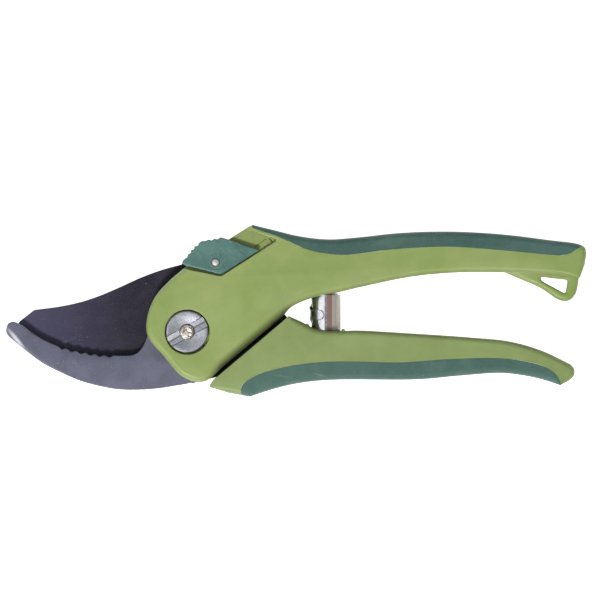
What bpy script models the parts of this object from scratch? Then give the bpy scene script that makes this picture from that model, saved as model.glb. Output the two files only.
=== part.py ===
"""Bypass pruning shears, lying flat on their back with the jaws closed and the lock on.

The pivot axis is the world Z axis and the back of the tool lies on z = 0. The jaws
point to -X and the handles to +X. Sizes are in millimetres until a mesh is made.
The upper handle carries the hook, and the lower handle, behind the pivot, carries
the cutting blade, so pulling the lower handle away opens the jaws.
"""

import math

import bmesh
import bpy
from mathutils import Vector

MM = 0.001

# Clearances
GAP = 0.3
RUNNING_CLEARANCE = 0.08
LOCK_CLEARANCE = 0.4

# Overall lengths
GRIP_START = 62.0
GRIP_LENGTH = 81.6
JAW_START = 15.0
JAW_LENGTH = 50.1

# Stack of plates and cheeks, from the back to the front
REAR_CHEEK = 5.0
BLADE_THICKNESS = 3.0
HOOK_THICKNESS = 3.5
HOOK_ROUNDING = 0.3
FRONT_CHEEK = 4.6
BLADE_BOTTOM = REAR_CHEEK + GAP
BLADE_TOP = BLADE_BOTTOM + BLADE_THICKNESS
HOOK_BOTTOM = BLADE_TOP + GAP
HOOK_TOP = HOOK_BOTTOM + HOOK_THICKNESS
SLOT_TOP = HOOK_TOP + GAP
HANDLE_THICKNESS = SLOT_TOP + FRONT_CHEEK
MIDDLE = HANDLE_THICKNESS / 2

# Mouldings
HANDLE_ROUNDING = 2.0
GRIP_SKIN = 2.3
RIB_MARGIN = 3.0
LOOP_THICKNESS = 6.0
LOOP_ROUNDING = 0.9

# Pivot
SHANK_RADIUS = 4.0
THREAD_RADIUS = 2.5
BOLT_HEAD_FLATS = 10.0
BOLT_HEAD_HEIGHT = 3.2
NUT_RADIUS = 7.6
NUT_THICKNESS = 2.4
NUT_POCKET_CLEARANCE = 0.4
NUT_POCKET_FLOOR = 1.1
WASHER_THICKNESS = 0.5
NUT_GROOVE_WIDTH = 4.1
NUT_GROOVE_DEPTH = 1.0
NUT_GROOVE_OVERSHOOT = 0.3
NUT_ROUNDING = 0.3
STUD_BELOW_NUT = 0.3
NUT_GROOVE_ANGLE = math.radians(30)

# The lower handle ends in a flat face that turns past the cheeks of the upper one
END_FACE_DISTANCE = 19.3
END_FACE_NORMAL = Vector((0.645, -0.764)).normalized()
END_FACE_ALONG = Vector((-END_FACE_NORMAL.y, END_FACE_NORMAL.x))
CHEEK_SETBACK = 1.3
SHIELD_END = 30.8
SHIELD_REACH = 3.6
SHIELD_ROOT = 2.0
HEEL_RADIUS = 25.0
HEEL_CLEARANCE = 1.0
SLOT_RADIUS = HEEL_RADIUS + HEEL_CLEARANCE

# Lock: it slides along the neck of the upper handle
SLIDE = Vector((0.843, 0.538)).normalized()
SLIDE_NORMAL = Vector((-SLIDE.y, SLIDE.x))
NECK_HEIGHT = 19.93
LOCK_TRAVEL = 6.6
LOCK_SEAT = 10.65
LOCK_RECESS_FLOOR = 2.7
SLIDER_PROUD = 0.5
SLIDER_ROUNDING = 0.35
THUMB_PAD_STEP = 1.0
PIN_RADIUS = 1.25
PIN_AT = (22.0, 15.5)
PIN_STEP = 0.25

# Volute spring, coiled about an axis along Y
SPRING_X = 50.4
SPRING_RADIUS = 5.65
SPRING_INNER_RADIUS = 1.9
SPRING_TURNS = 2.75
SPRING_STRIP = 0.5
SPRING_WIDTH = 13.0
SPRING_BOTTOM = 0.0
SPRING_RISE = 1.6
SPRING_SEATED = 0.55
SPRING_SEAT_CLEARANCE = 0.5
SOCKET_DEPTH = 2.2
SEAT_REACH = 12.0

GREEN = ((0.30, 0.38, 0.14), 0.42, 0.0)
DARK_GREEN = ((0.085, 0.17, 0.14), 0.60, 0.0)
LOCK_GREEN = ((0.08, 0.19, 0.16), 0.35, 0.0)
GREY_STEEL = ((0.17, 0.17, 0.21), 0.45, 0.6)
COATED_STEEL = ((0.05, 0.05, 0.07), 0.38, 0.5)
ZINC = ((0.55, 0.56, 0.58), 0.30, 1.0)


# ---------------------------------------------------------------- places and outlines


def grip(fraction, y):
    """A point of a handle, at a fraction of the grip's length."""
    return (GRIP_START + fraction * GRIP_LENGTH, y)


def tail(back, y):
    """A point near the tail of the upper handle, a distance back from its end."""
    return (GRIP_START + GRIP_LENGTH - back, y)


def jaw(fraction, y):
    """A point of a jaw, at a fraction of the length in front of the cheeks."""
    return (-JAW_START - fraction * JAW_LENGTH, y)


def beside_end_face(along, distance):
    """A point a distance from the pivot across the end face, and a distance along it."""
    return tuple(END_FACE_NORMAL * distance + END_FACE_ALONG * along)


def on_slide(along, height):
    """A point in the lock's own directions, along its slide and out of the neck."""
    return tuple(SLIDE * along + SLIDE_NORMAL * height)


def arc(centre, radius, start, end, steps):
    """Points on an arc, with its angles in degrees."""
    angles = [math.radians(start + (end - start) * i / steps) for i in range(steps + 1)]
    return [(centre[0] + radius * math.cos(a), centre[1] + radius * math.sin(a)) for a in angles]


def curve(points, steps=3):
    """Points along a smooth curve through the points given, ends included."""
    knots = [Vector(p) for p in points]
    knots = [2 * knots[0] - knots[1], *knots, 2 * knots[-1] - knots[-2]]
    found = []
    for before, start, end, after in zip(knots, knots[1:], knots[2:], knots[3:]):
        times = [0.0]
        for a, b in ((before, start), (start, end), (end, after)):
            times.append(times[-1] + math.sqrt((b - a).length))
        for step in range(steps):
            t = times[1] + (times[2] - times[1]) * step / steps
            found.append(blended((before, start, end, after), times, t))
    return found + [tuple(knots[-2])]


def blended(knots, times, t):
    """The point at a time on the smooth curve through four knots, each with its own time."""
    chords = [between(knots[i], knots[i + 1], times[i], times[i + 1], t) for i in range(3)]
    bends = [between(chords[i], chords[i + 1], times[i], times[i + 2], t) for i in range(2)]
    return tuple(between(*bends, times[1], times[2], t))


def between(first, last, start, end, t):
    """The point on the way from one to another that matches a time from start to end."""
    return first + (last - first) * ((t - start) / (end - start))


def outline(*stretches):
    """One closed outline from stretches that follow each other, with no point twice."""
    found = []
    for point in [p for stretch in stretches for p in stretch]:
        if not found or (Vector(point) - Vector(found[-1])).length > 0.05:
            found.append(point)
    if (Vector(found[0]) - Vector(found[-1])).length <= 0.05:
        found.pop()
    return found


def moved_left(points, distance):
    """An open run of points moved to its left by a distance."""
    found = []
    for i, point in enumerate(points):
        before = Vector(points[max(i - 1, 0)])
        after = Vector(points[min(i + 1, len(points) - 1)])
        way = (after - before).normalized()
        found.append((point[0] - way.y * distance, point[1] + way.x * distance))
    return found


def turns_left(points):
    """Whether a closed outline runs counter-clockwise."""
    pairs = zip(points, points[1:] + points[:1])
    return sum(a[0] * b[1] - b[0] * a[1] for a, b in pairs) > 0


def grown(points, distance):
    """A closed outline moved outwards by a distance."""
    if not turns_left(points):
        points = points[::-1]
    found = []
    for i, point in enumerate(points):
        here = Vector(point)
        way_in = (here - Vector(points[i - 1])).normalized()
        way_out = (Vector(points[(i + 1) % len(points)]) - here).normalized()
        middle = Vector((way_in.y + way_out.y, -way_in.x - way_out.x)).normalized()
        reach = distance / max(middle.dot(Vector((way_in.y, -way_in.x))), 0.5)
        found.append(tuple(here + middle * reach))
    return found


# ---------------------------------------------------------------- solids


def clear_scene():
    for obj in list(bpy.data.objects):
        bpy.data.objects.remove(obj)


def material(name, finish):
    colour, roughness, metallic = finish
    made = bpy.data.materials.new(name)
    made.use_nodes = True
    shader = made.node_tree.nodes["Principled BSDF"]
    shader.inputs["Base Color"].default_value = (*colour, 1.0)
    shader.inputs["Roughness"].default_value = roughness
    shader.inputs["Metallic"].default_value = metallic
    return made


def finished(name, bm, smooth=True):
    """An object from a bmesh in millimetres."""
    bmesh.ops.recalc_face_normals(bm, faces=bm.faces)
    bmesh.ops.scale(bm, vec=(MM, MM, MM), verts=bm.verts)
    mesh = bpy.data.meshes.new(name)
    bm.to_mesh(mesh)
    bm.free()
    if smooth:
        mesh.shade_smooth()
        mesh.set_sharp_from_angle(angle=math.radians(20))
    obj = bpy.data.objects.new(name, mesh)
    bpy.context.scene.collection.objects.link(obj)
    return obj


def prism(name, points, bottom, top, rounding=0.0, segments=2):
    """An outline stood up from one height to another, with its rims rounded over."""
    bm = bmesh.new()
    base = bm.faces.new([bm.verts.new((x, y, bottom)) for x, y in points])
    rims = list(base.edges)
    raised = bmesh.ops.extrude_face_region(bm, geom=[base])["geom"]
    lifted = [v for v in raised if isinstance(v, bmesh.types.BMVert)]
    bmesh.ops.translate(bm, vec=(0, 0, top - bottom), verts=lifted)
    bmesh.ops.recalc_face_normals(bm, faces=bm.faces)
    rims += [e for e in raised if isinstance(e, bmesh.types.BMEdge)]
    if rounding:
        bmesh.ops.bevel(
            bm, geom=rims, offset=rounding, segments=segments, profile=0.5,
            affect="EDGES", material=-1, clamp_overlap=False,
        )
    return finished(name, bm)


def plate(name, rear, front, bottom, top):
    """A plate whose rear outline differs from its front one, point for point."""
    bm = bmesh.new()
    low = [bm.verts.new((x, y, bottom)) for x, y in rear]
    high = [bm.verts.new((x, y, top)) for x, y in front]
    bm.faces.new(low)
    bm.faces.new(high)
    for i in range(len(low)):
        bm.faces.new((low[i - 1], low[i], high[i], high[i - 1]))
    return finished(name, bm)


def cylinder(name, radius, bottom, top, centre=(0.0, 0.0), sides=48):
    """A round bar along Z."""
    points = arc(centre, radius, 0, 360 - 360 / sides, sides - 1)
    return prism(name, points, bottom, top)


def cross_bar(name, radius, x, y_from, y_to, sides=32):
    """A round bar along Y, at the handles' middle height."""
    bm = bmesh.new()
    ring = arc((x, MIDDLE), radius, 0, 360 - 360 / sides, sides - 1)
    base = bm.faces.new([bm.verts.new((px, y_from, pz)) for px, pz in ring])
    raised = bmesh.ops.extrude_face_region(bm, geom=[base])["geom"]
    lifted = [v for v in raised if isinstance(v, bmesh.types.BMVert)]
    bmesh.ops.translate(bm, vec=(0, y_to - y_from, 0), verts=lifted)
    return finished(name, bm)


def capsule(start, end, radius, sides=12):
    """The outline of a round-ended slot between two points."""
    way = math.degrees(math.atan2(end[1] - start[1], end[0] - start[0]))
    return outline(
        arc(end, radius, way - 90, way + 90, sides), arc(start, radius, way + 90, way + 270, sides)
    )


def combine(obj, tool, operation):
    """A Boolean of an object with a tool, which is hidden from the render."""
    tool.hide_render = True
    tool.display_type = "WIRE"
    modifier = obj.modifiers.new(tool.name, "BOOLEAN")
    modifier.operation = operation
    modifier.solver = "EXACT"
    modifier.object = tool


def cut(obj, tool):
    combine(obj, tool, "DIFFERENCE")


def add(obj, tool):
    combine(obj, tool, "UNION")


def keep(obj, tool):
    combine(obj, tool, "INTERSECT")


def seat_at(objects, parent_name, place):
    """Parents objects to an empty at a place on their joint's axis, with their origins there."""
    parent = bpy.data.objects.new(parent_name, None)
    parent.location = Vector(place) * MM
    bpy.context.scene.collection.objects.link(parent)
    for obj in objects:
        for vertex in obj.data.vertices:
            vertex.co -= parent.location
        obj.parent = parent


# ---------------------------------------------------------------- outlines of the pieces


UPPER_BACK = curve([
    tail(0.0, 28.0), tail(0.5, 30.2), tail(2.9, 31.5), grip(0.84, 32.9), grip(0.63, 35.0),
    grip(0.40, 36.0), grip(0.18, 35.5), (61.3, 33.9), (50.9, 33.2), (40.6, 34.3),
    (29.8, 36.9), (23.5, 38.4),
])
UPPER_INSIDE = curve([
    beside_end_face(30.1, END_FACE_DISTANCE - CHEEK_SETBACK), (37.0, 8.5), (41.0, 10.7),
    (47.8, 12.9), (55.0, 14.3), grip(0.0, 15.9), grip(0.22, 19.6), grip(0.40, 21.1),
    grip(0.62, 21.3), grip(0.83, 20.5), tail(2.4, 19.4),
])
HEAD = curve([
    on_slide(12.2, NECK_HEIGHT), (-6.8, 17.9), (-11.6, 12.4), (-14.3, 5.6), (-14.6, 0.0),
    (-12.9, -3.8), (-8.6, -8.6), (-5.3, -12.7), (-2.6, -15.5), (1.4, -17.6), (4.4, -18.1),
    (6.6, -17.5),
])
LOWER_INSIDE = curve([
    beside_end_face(31.5, END_FACE_DISTANCE), (41.0, 3.6), (46.0, 1.1), (51.0, 0.3), (57.0, 0.3),
    grip(0.0, 0.4), grip(0.22, -0.6), grip(0.49, -2.1), grip(0.66, -3.5), grip(0.80, -6.7),
    grip(0.93, -11.7),
])
LOWER_TAIL = curve([
    grip(0.93, -11.7), grip(0.946, -13.4), grip(0.946, -15.6), grip(0.928, -17.4),
    grip(0.885, -19.3),
])
LOWER_BACK = curve([
    grip(0.885, -19.3), grip(0.80, -17.1), grip(0.71, -15.6), grip(0.62, -14.9),
    grip(0.44, -15.9), grip(0.26, -17.2), (51.4, -17.4), (40.6, -18.5), (31.6, -20.5),
    (22.6, -23.4),
])

UPPER_GRIP_EDGE = curve([
    (23.5, 37.4), (32.2, 34.4), (44.0, 29.4), (50.9, 28.0), (57.8, 27.7), grip(0.12, 29.4),
    grip(0.37, 30.6), grip(0.54, 29.9), grip(0.71, 28.7), grip(0.84, 27.7), grip(0.91, 27.7),
    tail(1.9, 30.8), tail(-3.0, 34.0),
])
LOWER_GRIP_EDGE = curve([
    (21.0, -26.0), (19.5, -20.1), (24.4, -16.1), (31.6, -13.6), (40.6, -11.8), (49.6, -10.9),
    grip(0.0, -10.8), grip(0.18, -11.1), grip(0.40, -9.9), grip(0.62, -9.6), grip(0.73, -10.7),
    grip(0.81, -12.5), grip(0.863, -15.2), grip(0.885, -18.3), grip(0.89, -22.0),
])

SERRATION_START = (0.633, -5.1)
SERRATION_END = (0.227, -8.6)
SERRATIONS = 6
SERRATION_DEPTH = 0.65
SERRATION_SAG = 0.75
HOOK_INNER = curve([
    jaw(1.0, 1.7), jaw(0.985, 3.0), jaw(0.95, 3.6), jaw(0.885, 2.2), jaw(0.80, -0.9),
    jaw(0.71, -3.5), jaw(*SERRATION_START),
])
HOOK_HEEL = curve([
    jaw(*SERRATION_END), jaw(0.15, -8.65), (-19.3, -8.3), (-17.1, -6.9), (-15.6, -4.7),
    (-14.3, -1.5), (-12.6, 4.0), (-9.0, 10.0), (-2.0, 15.0), (7.0, 17.2), (16.0, 18.6),
])
HOOK_OUTER = curve([
    (13.0, -9.0), (8.6, -14.0), (2.6, -18.0), (-4.2, -19.5), (-11.8, -20.6), jaw(0.09, -21.0),
    jaw(0.21, -20.7), jaw(0.34, -19.5), jaw(0.48, -17.5), jaw(0.62, -14.4), jaw(0.743, -11.2),
    jaw(0.848, -7.4), jaw(0.937, -3.8), jaw(0.990, -1.4), jaw(1.004, 0.2), jaw(1.0, 1.7),
])
HOOK_TANG = [(30.0, 23.0), (44.0, 23.6), (47.0, 21.5), (46.0, 17.5), (30.0, 11.0), (22.0, 1.0)]

BLADE_SPINE = curve([
    (-2.0, 24.2), (-9.8, 22.0), jaw(0.04, 19.3), jaw(0.18, 16.1), jaw(0.33, 12.9),
    jaw(0.47, 10.6), jaw(0.62, 9.0), jaw(0.80, 7.8),
])
BLADE_EDGE = curve([
    jaw(0.94, 0.9), jaw(0.86, -1.4), jaw(0.74, -5.0), jaw(0.60, -8.6), jaw(0.42, -11.2),
    jaw(0.22, -12.0), jaw(0.05, -11.6),
])
BLADE_GRIND = 3.6
BLADE_HEEL = curve([(-15.5, -12.4), (-11.0, -14.6), (-5.0, -17.2), (2.0, -18.6)])
BLADE_TANG = [
    beside_end_face(-2.5, END_FACE_DISTANCE), beside_end_face(-0.5, 25.0), (24.0, -14.6),
    (50.0, -8.6), (53.0, -6.0), (51.0, -4.2), (40.0, -3.0),
    beside_end_face(SHIELD_END, END_FACE_DISTANCE + SHIELD_ROOT),
    beside_end_face(SHIELD_END, END_FACE_DISTANCE - SHIELD_REACH),
]

SLIDER_LOW_LEFT = (21.4, LOCK_SEAT)
SLIDER_LOW_RIGHT = (37.7, LOCK_SEAT)
SLIDER_TIP = (11.6, 21.6)
SLIDER_RIGHT_AT_NECK = (30.4, NECK_HEIGHT)


def serrated_edge():
    """Shallow notches along the hook's gripping edge, on a line that sags between its ends."""
    found = []
    steps = 6
    for i in range(SERRATIONS * steps):
        along = i / (SERRATIONS * steps)
        x, y = jaw(
            SERRATION_START[0] + (SERRATION_END[0] - SERRATION_START[0]) * along,
            SERRATION_START[1] + (SERRATION_END[1] - SERRATION_START[1]) * along,
        )
        sag = SERRATION_SAG * 4 * along * (1 - along)
        bite = SERRATION_DEPTH * math.sin(math.pi * along * SERRATIONS) ** 2
        found.append((x, y - sag - bite))
    return found + [jaw(*SERRATION_END)]


def upper_blank():
    """The outline of the upper handle's moulding with its grip, without the hanging loop."""
    gap_edge = [beside_end_face(t, END_FACE_DISTANCE - CHEEK_SETBACK) for t in (-4.0, 10.0)]
    neck_corner = on_slide(39.2, NECK_HEIGHT)
    return outline(UPPER_BACK, [neck_corner], HEAD, gap_edge, UPPER_INSIDE, [tail(0.6, 24.2)])


def lower_blank():
    """The outline of the lower handle's moulding with its grip."""
    tip = beside_end_face(-6.9, END_FACE_DISTANCE + 0.9)
    return outline(
        [tip, beside_end_face(-4.0, END_FACE_DISTANCE)], LOWER_INSIDE, LOWER_TAIL, LOWER_BACK,
        [(15.0, -22.1)],
    )


def grip_zone(edge, far_y, shift):
    """The region of a handle that its grip fills, past an edge moved by a shift."""
    run = moved_left(edge, shift)
    return outline(run, [(run[-1][0], far_y), (run[0][0], far_y)])


def rib(name, under_skin, inside, ends, growth):
    """The core's rib inside a grip, from under the grip's skin to past the grip's edge."""
    outer = [p for p in under_skin if ends[0] < p[0] < ends[1]]
    inner = [p for p in inside if ends[0] < p[0] < ends[1]]
    points = grown(outline(outer, inner), growth)
    skin = GRIP_SKIN - growth
    return prism(name, points, skin, HANDLE_THICKNESS - skin)


# ---------------------------------------------------------------- upper handle


def upper_mouldings():
    """The rigid moulding of the upper handle and the soft grip along its back."""
    core = prism("upper_handle", upper_blank(), 0.0, HANDLE_THICKNESS, HANDLE_ROUNDING)
    soft = prism("upper_grip", upper_blank(), 0.0, HANDLE_THICKNESS, HANDLE_ROUNDING)
    low, high = -1.0, HANDLE_THICKNESS + 1.0
    far = 60.0
    cut(core, prism("upper_grip_seat", grip_zone(UPPER_GRIP_EDGE, far, -GAP), low, high))
    keep(soft, prism("upper_grip_zone", grip_zone(UPPER_GRIP_EDGE, far, 0.0), low, high))
    ends = (GRIP_START - 22.0, GRIP_START + GRIP_LENGTH - 10.0)
    lines = (moved_left(UPPER_BACK, GRIP_SKIN), moved_left(UPPER_GRIP_EDGE, -RIB_MARGIN))
    add(core, rib("upper_rib", *lines, ends, 0.0))
    cut(soft, rib("upper_rib_space", *lines, ends, GAP))
    add(core, hanging_loop())
    cut(core, loop_hole())
    clear_jaw_slot(core)
    clear_blade_shield(core)
    clear_pivot(core)
    clear_lock(core)
    clear_spring_above(core)
    return core, soft


def hanging_loop():
    points = outline(
        curve([tail(32.0, 22.6), tail(27.4, 20.4), tail(23.8, 18.9), tail(16.6, 15.7),
               tail(9.4, 11.2), tail(6.3, 11.1), tail(3.8, 13.5), tail(2.6, 19.4)]),
        [tail(2.8, 24.0), tail(30.0, 24.0)],
    )
    half = LOOP_THICKNESS / 2
    return prism("hanging_loop", points, MIDDLE - half, MIDDLE + half, LOOP_ROUNDING)


def loop_hole():
    points = [
        tail(16.4, 19.9), tail(7.3, 18.9), tail(6.4, 17.5), tail(7.3, 14.0), tail(7.9, 13.5),
        tail(15.9, 18.2),
    ]
    return prism("loop_hole", points, -1.0, HANDLE_THICKNESS + 1.0)


def clear_jaw_slot(core):
    """The slot between the cheeks, and the pocket behind it that holds the hook's tang."""
    cut(core, cylinder("jaw_slot", SLOT_RADIUS, REAR_CHEEK, SLOT_TOP, sides=72))
    cut(core, prism("hook_pocket", grown(hook_outline(), GAP), HOOK_BOTTOM - GAP, SLOT_TOP))


def clear_blade_shield(core):
    """The groove in the cheeks' edge that the blade's shield lies in while the jaws are closed."""
    near, far = END_FACE_DISTANCE - SHIELD_REACH - GAP, END_FACE_DISTANCE
    groove = [beside_end_face(along, reach) for along, reach in (
        (10.0, near), (10.0, far), (SHIELD_END + GAP, far), (SHIELD_END + GAP, near),
    )]
    cut(core, prism("shield_groove", groove, BLADE_BOTTOM - GAP, BLADE_TOP + GAP))


def clear_pivot(core):
    """The nut's pocket in front, the bolt head's hexagon behind, and the bolt's hole."""
    pocket = NUT_RADIUS + NUT_POCKET_CLEARANCE
    floor = SLOT_TOP + NUT_POCKET_FLOOR
    cut(core, cylinder("nut_pocket", pocket, floor, HANDLE_THICKNESS + 1.0, sides=64))
    cut(core, cylinder("bolt_hole", SHANK_RADIUS + RUNNING_CLEARANCE, -1.0, HANDLE_THICKNESS))
    across = (BOLT_HEAD_FLATS / 2 + GAP) / math.cos(math.pi / 6)
    cut(core, cylinder("head_pocket", across, -1.0, BOLT_HEAD_HEIGHT + GAP, sides=6))


def lock_floor():
    return SLOT_TOP + LOCK_RECESS_FLOOR


def clear_lock(core):
    """The recess that the lock slides in, and the slot that its pin runs in."""
    room = LOCK_CLEARANCE
    along = LOCK_TRAVEL + room
    outside = NECK_HEIGHT + 12.0
    before = SLIDER_TIP[0] - 8.0
    low_left, low_right = SLIDER_LOW_LEFT, SLIDER_LOW_RIGHT
    recess = [
        on_slide(low_left[0] - room, low_left[1] - room),
        on_slide(low_right[0] + along, low_right[1] - room),
        on_slide(low_right[0] + along, low_right[1] + room),
        on_slide(SLIDER_RIGHT_AT_NECK[0] + along, NECK_HEIGHT),
        on_slide(SLIDER_RIGHT_AT_NECK[0] + along, outside),
        on_slide(before, outside),
        on_slide(before, SLIDER_TIP[1] - room),
        on_slide(SLIDER_TIP[0] - room, SLIDER_TIP[1] - 1.4 - room),
    ]
    cut(core, prism("lock_recess", recess, lock_floor(), HANDLE_THICKNESS + 1.0))
    start = on_slide(*PIN_AT)
    end = on_slide(PIN_AT[0] + LOCK_TRAVEL, PIN_AT[1])
    slot = capsule(start, end, PIN_RADIUS + LOCK_CLEARANCE)
    cut(core, prism("pin_slot", slot, REAR_CHEEK, HANDLE_THICKNESS))


def clear_spring_above(core):
    """A wide seat for the spring's outer turns and a deeper socket for its inner ones."""
    seat = SPRING_BOTTOM + SPRING_WIDTH + SPRING_RISE * SPRING_SEATED + GAP
    wide = SPRING_RADIUS + SPRING_SEAT_CLEARANCE
    cut(core, cross_bar("spring_seat_above", wide, SPRING_X, seat - SEAT_REACH, seat))
    narrow = spring_radius_at(SPRING_SEATED) + SPRING_SEAT_CLEARANCE
    top = seat + SOCKET_DEPTH
    cut(core, cross_bar("spring_socket", narrow, SPRING_X, seat - SEAT_REACH, top))


# ---------------------------------------------------------------- lower handle


def lower_mouldings():
    """The rigid moulding of the lower handle and the soft grip along its back."""
    core = prism("lower_handle", lower_blank(), 0.0, HANDLE_THICKNESS, HANDLE_ROUNDING)
    soft = prism("lower_grip", lower_blank(), 0.0, HANDLE_THICKNESS, HANDLE_ROUNDING)
    low, high = -1.0, HANDLE_THICKNESS + 1.0
    far = -60.0
    cut(core, prism("lower_grip_seat", grip_zone(LOWER_GRIP_EDGE, far, GAP), low, high))
    keep(soft, prism("lower_grip_zone", grip_zone(LOWER_GRIP_EDGE, far, 0.0), low, high))
    ends = (GRIP_START - 32.0, GRIP_START + 0.85 * GRIP_LENGTH)
    lines = (moved_left(LOWER_BACK, -GRIP_SKIN), moved_left(LOWER_GRIP_EDGE, RIB_MARGIN))
    add(core, rib("lower_rib", *lines, ends, 0.0))
    cut(soft, rib("lower_rib_space", *lines, ends, GAP))
    pocket = grown(blade_outline(0.0), GAP)
    cut(core, prism("tang_pocket", pocket, BLADE_BOTTOM - GAP, BLADE_TOP + GAP))
    wide = SPRING_RADIUS + SPRING_SEAT_CLEARANCE
    seat = SPRING_BOTTOM - GAP
    cut(core, cross_bar("spring_seat_below", wide, SPRING_X, seat, seat + SEAT_REACH))
    return core, soft


# ---------------------------------------------------------------- jaws


def hook_outline():
    return outline(HOOK_OUTER, HOOK_INNER, serrated_edge(), HOOK_HEEL, HOOK_TANG)


def blade_outline(grind):
    """The blade's outline, with its cutting edge drawn back by a grind."""
    edge = moved_left(BLADE_EDGE, grind)
    edge[0] = jaw(0.94 - 0.01 * grind, 0.9 + 0.3 * grind)
    across = END_FACE_DISTANCE - SHIELD_REACH
    start = beside_end_face(math.sqrt(HEEL_RADIUS ** 2 - across ** 2), across)
    heel = arc((0.0, 0.0), HEEL_RADIUS, math.degrees(math.atan2(start[1], start[0])), 94.5, 20)
    return [*BLADE_SPINE, jaw(0.905, 3.7), *edge, *BLADE_HEEL, *BLADE_TANG, *heel[:-1]]


def hook_jaw():
    obj = prism("hook_jaw", hook_outline(), HOOK_BOTTOM, HOOK_TOP, HOOK_ROUNDING, 1)
    bore = SHANK_RADIUS + RUNNING_CLEARANCE
    cut(obj, cylinder("hook_bore", bore, HOOK_BOTTOM - 1.0, HOOK_TOP + 1.0, sides=64))
    return obj


def cutting_blade():
    front = blade_outline(0.0)
    rear = blade_outline(BLADE_GRIND)
    obj = plate("cutting_blade", rear, front, BLADE_BOTTOM, BLADE_TOP)
    bore = SHANK_RADIUS + RUNNING_CLEARANCE
    cut(obj, cylinder("blade_bore", bore, BLADE_BOTTOM - 1.0, BLADE_TOP + 1.0, sides=64))
    return obj


# ---------------------------------------------------------------- pivot fastener


def pivot_pieces():
    """The bolt from behind, and the wave washer and slotted nut in front."""
    across = BOLT_HEAD_FLATS / 2 / math.cos(math.pi / 6)
    bolt = cylinder("pivot_bolt", across, 0.0, BOLT_HEAD_HEIGHT, sides=6)
    floor = SLOT_TOP + NUT_POCKET_FLOOR
    washer_bottom = floor + GAP
    nut_bottom = washer_bottom + WASHER_THICKNESS + GAP
    nut_top = nut_bottom + NUT_THICKNESS
    shoulder = nut_bottom - GAP
    add(bolt, cylinder("bolt_shank", SHANK_RADIUS, BOLT_HEAD_HEIGHT - 1.0, shoulder, sides=64))
    add(bolt, cylinder("bolt_thread", THREAD_RADIUS, shoulder - 1.0, nut_top - STUD_BELOW_NUT, sides=32))

    washer = cylinder("wave_washer", NUT_RADIUS - 1.0, washer_bottom,
                      washer_bottom + WASHER_THICKNESS, sides=48)
    cut(washer, cylinder("washer_hole", SHANK_RADIUS + GAP, washer_bottom - 1.0, nut_bottom))

    nut = prism("pivot_nut", arc((0, 0), NUT_RADIUS, 0, 354, 59), nut_bottom, nut_top, NUT_ROUNDING, 1)
    cut(nut, cylinder("nut_thread", THREAD_RADIUS + GAP, nut_bottom - 1.0, nut_top + 1.0, sides=32))
    cut(nut, nut_groove(nut_top))
    return bolt, washer, nut


def nut_groove(nut_top):
    """A V-shaped bar laid across the nut."""
    bm = bmesh.new()
    half = NUT_GROOVE_WIDTH / 2 * (1 + NUT_GROOVE_OVERSHOOT)
    above = NUT_GROOVE_DEPTH * NUT_GROOVE_OVERSHOOT
    profile = [(-half, above), (half, above), (0.0, -NUT_GROOVE_DEPTH)]
    along = Vector((math.cos(NUT_GROOVE_ANGLE), math.sin(NUT_GROOVE_ANGLE), 0.0))
    across = Vector((-along.y, along.x, 0.0))
    ends = []
    for way in (-1, 1):
        start = along * way * (NUT_RADIUS + 1.0) + Vector((0.0, 0.0, nut_top))
        ends.append([bm.verts.new(start + across * u + Vector((0, 0, v))) for u, v in profile])
    for end in ends:
        bm.faces.new(end)
    for i in range(3):
        bm.faces.new((ends[0][i - 1], ends[0][i], ends[1][i], ends[1][i - 1]))
    return finished("nut_groove", bm, smooth=False)


# ---------------------------------------------------------------- lock


def thumb_edge():
    """The serrated edge that the thumb pushes, from the tip round to the peak."""
    return [
        on_slide(s, n) for s, n in (
            (28.4, 22.2), (27.0, 22.1), (26.4, 22.9), (25.0, 22.9), (24.4, 23.8), (23.0, 23.9),
            (22.2, 24.6), (20.6, 24.6), (19.6, 24.5), (17.3, 24.0), (14.9, 23.2), (12.2, 22.2),
        )
    ]


def lock_pieces():
    """The slider, with its thumb pad outside the neck, and the pin riveted in it."""
    top = HANDLE_THICKNESS + SLIDER_PROUD
    bottom = lock_floor() + GAP
    points = outline(
        [on_slide(*SLIDER_LOW_LEFT), on_slide(*SLIDER_LOW_RIGHT), on_slide(*SLIDER_RIGHT_AT_NECK)],
        thumb_edge(), [on_slide(*SLIDER_TIP), on_slide(12.3, 20.3)],
    )
    slider = prism("lock_slider", points, bottom, top, SLIDER_ROUNDING, 1)
    clear = NECK_HEIGHT + LOCK_CLEARANCE
    pad = outline(
        [on_slide(29.6, clear), on_slide(28.4, 22.0)], thumb_edge()[1:-1],
        [on_slide(12.6, 22.1), on_slide(13.6, clear)],
    )
    add(slider, prism("thumb_pad", pad, HOOK_BOTTOM + GAP, top - THUMB_PAD_STEP))
    place = on_slide(*PIN_AT)
    cut(slider, cylinder("pin_seat", PIN_RADIUS + PIN_STEP, bottom - 1.0, top + 1.0, place, 24))
    pin = cylinder("lock_pin", PIN_RADIUS, BLADE_BOTTOM, top, place, sides=24)
    return slider, pin


# ---------------------------------------------------------------- spring


def spring_radius_at(fraction):
    return SPRING_RADIUS + (SPRING_INNER_RADIUS - SPRING_RADIUS) * fraction


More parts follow.
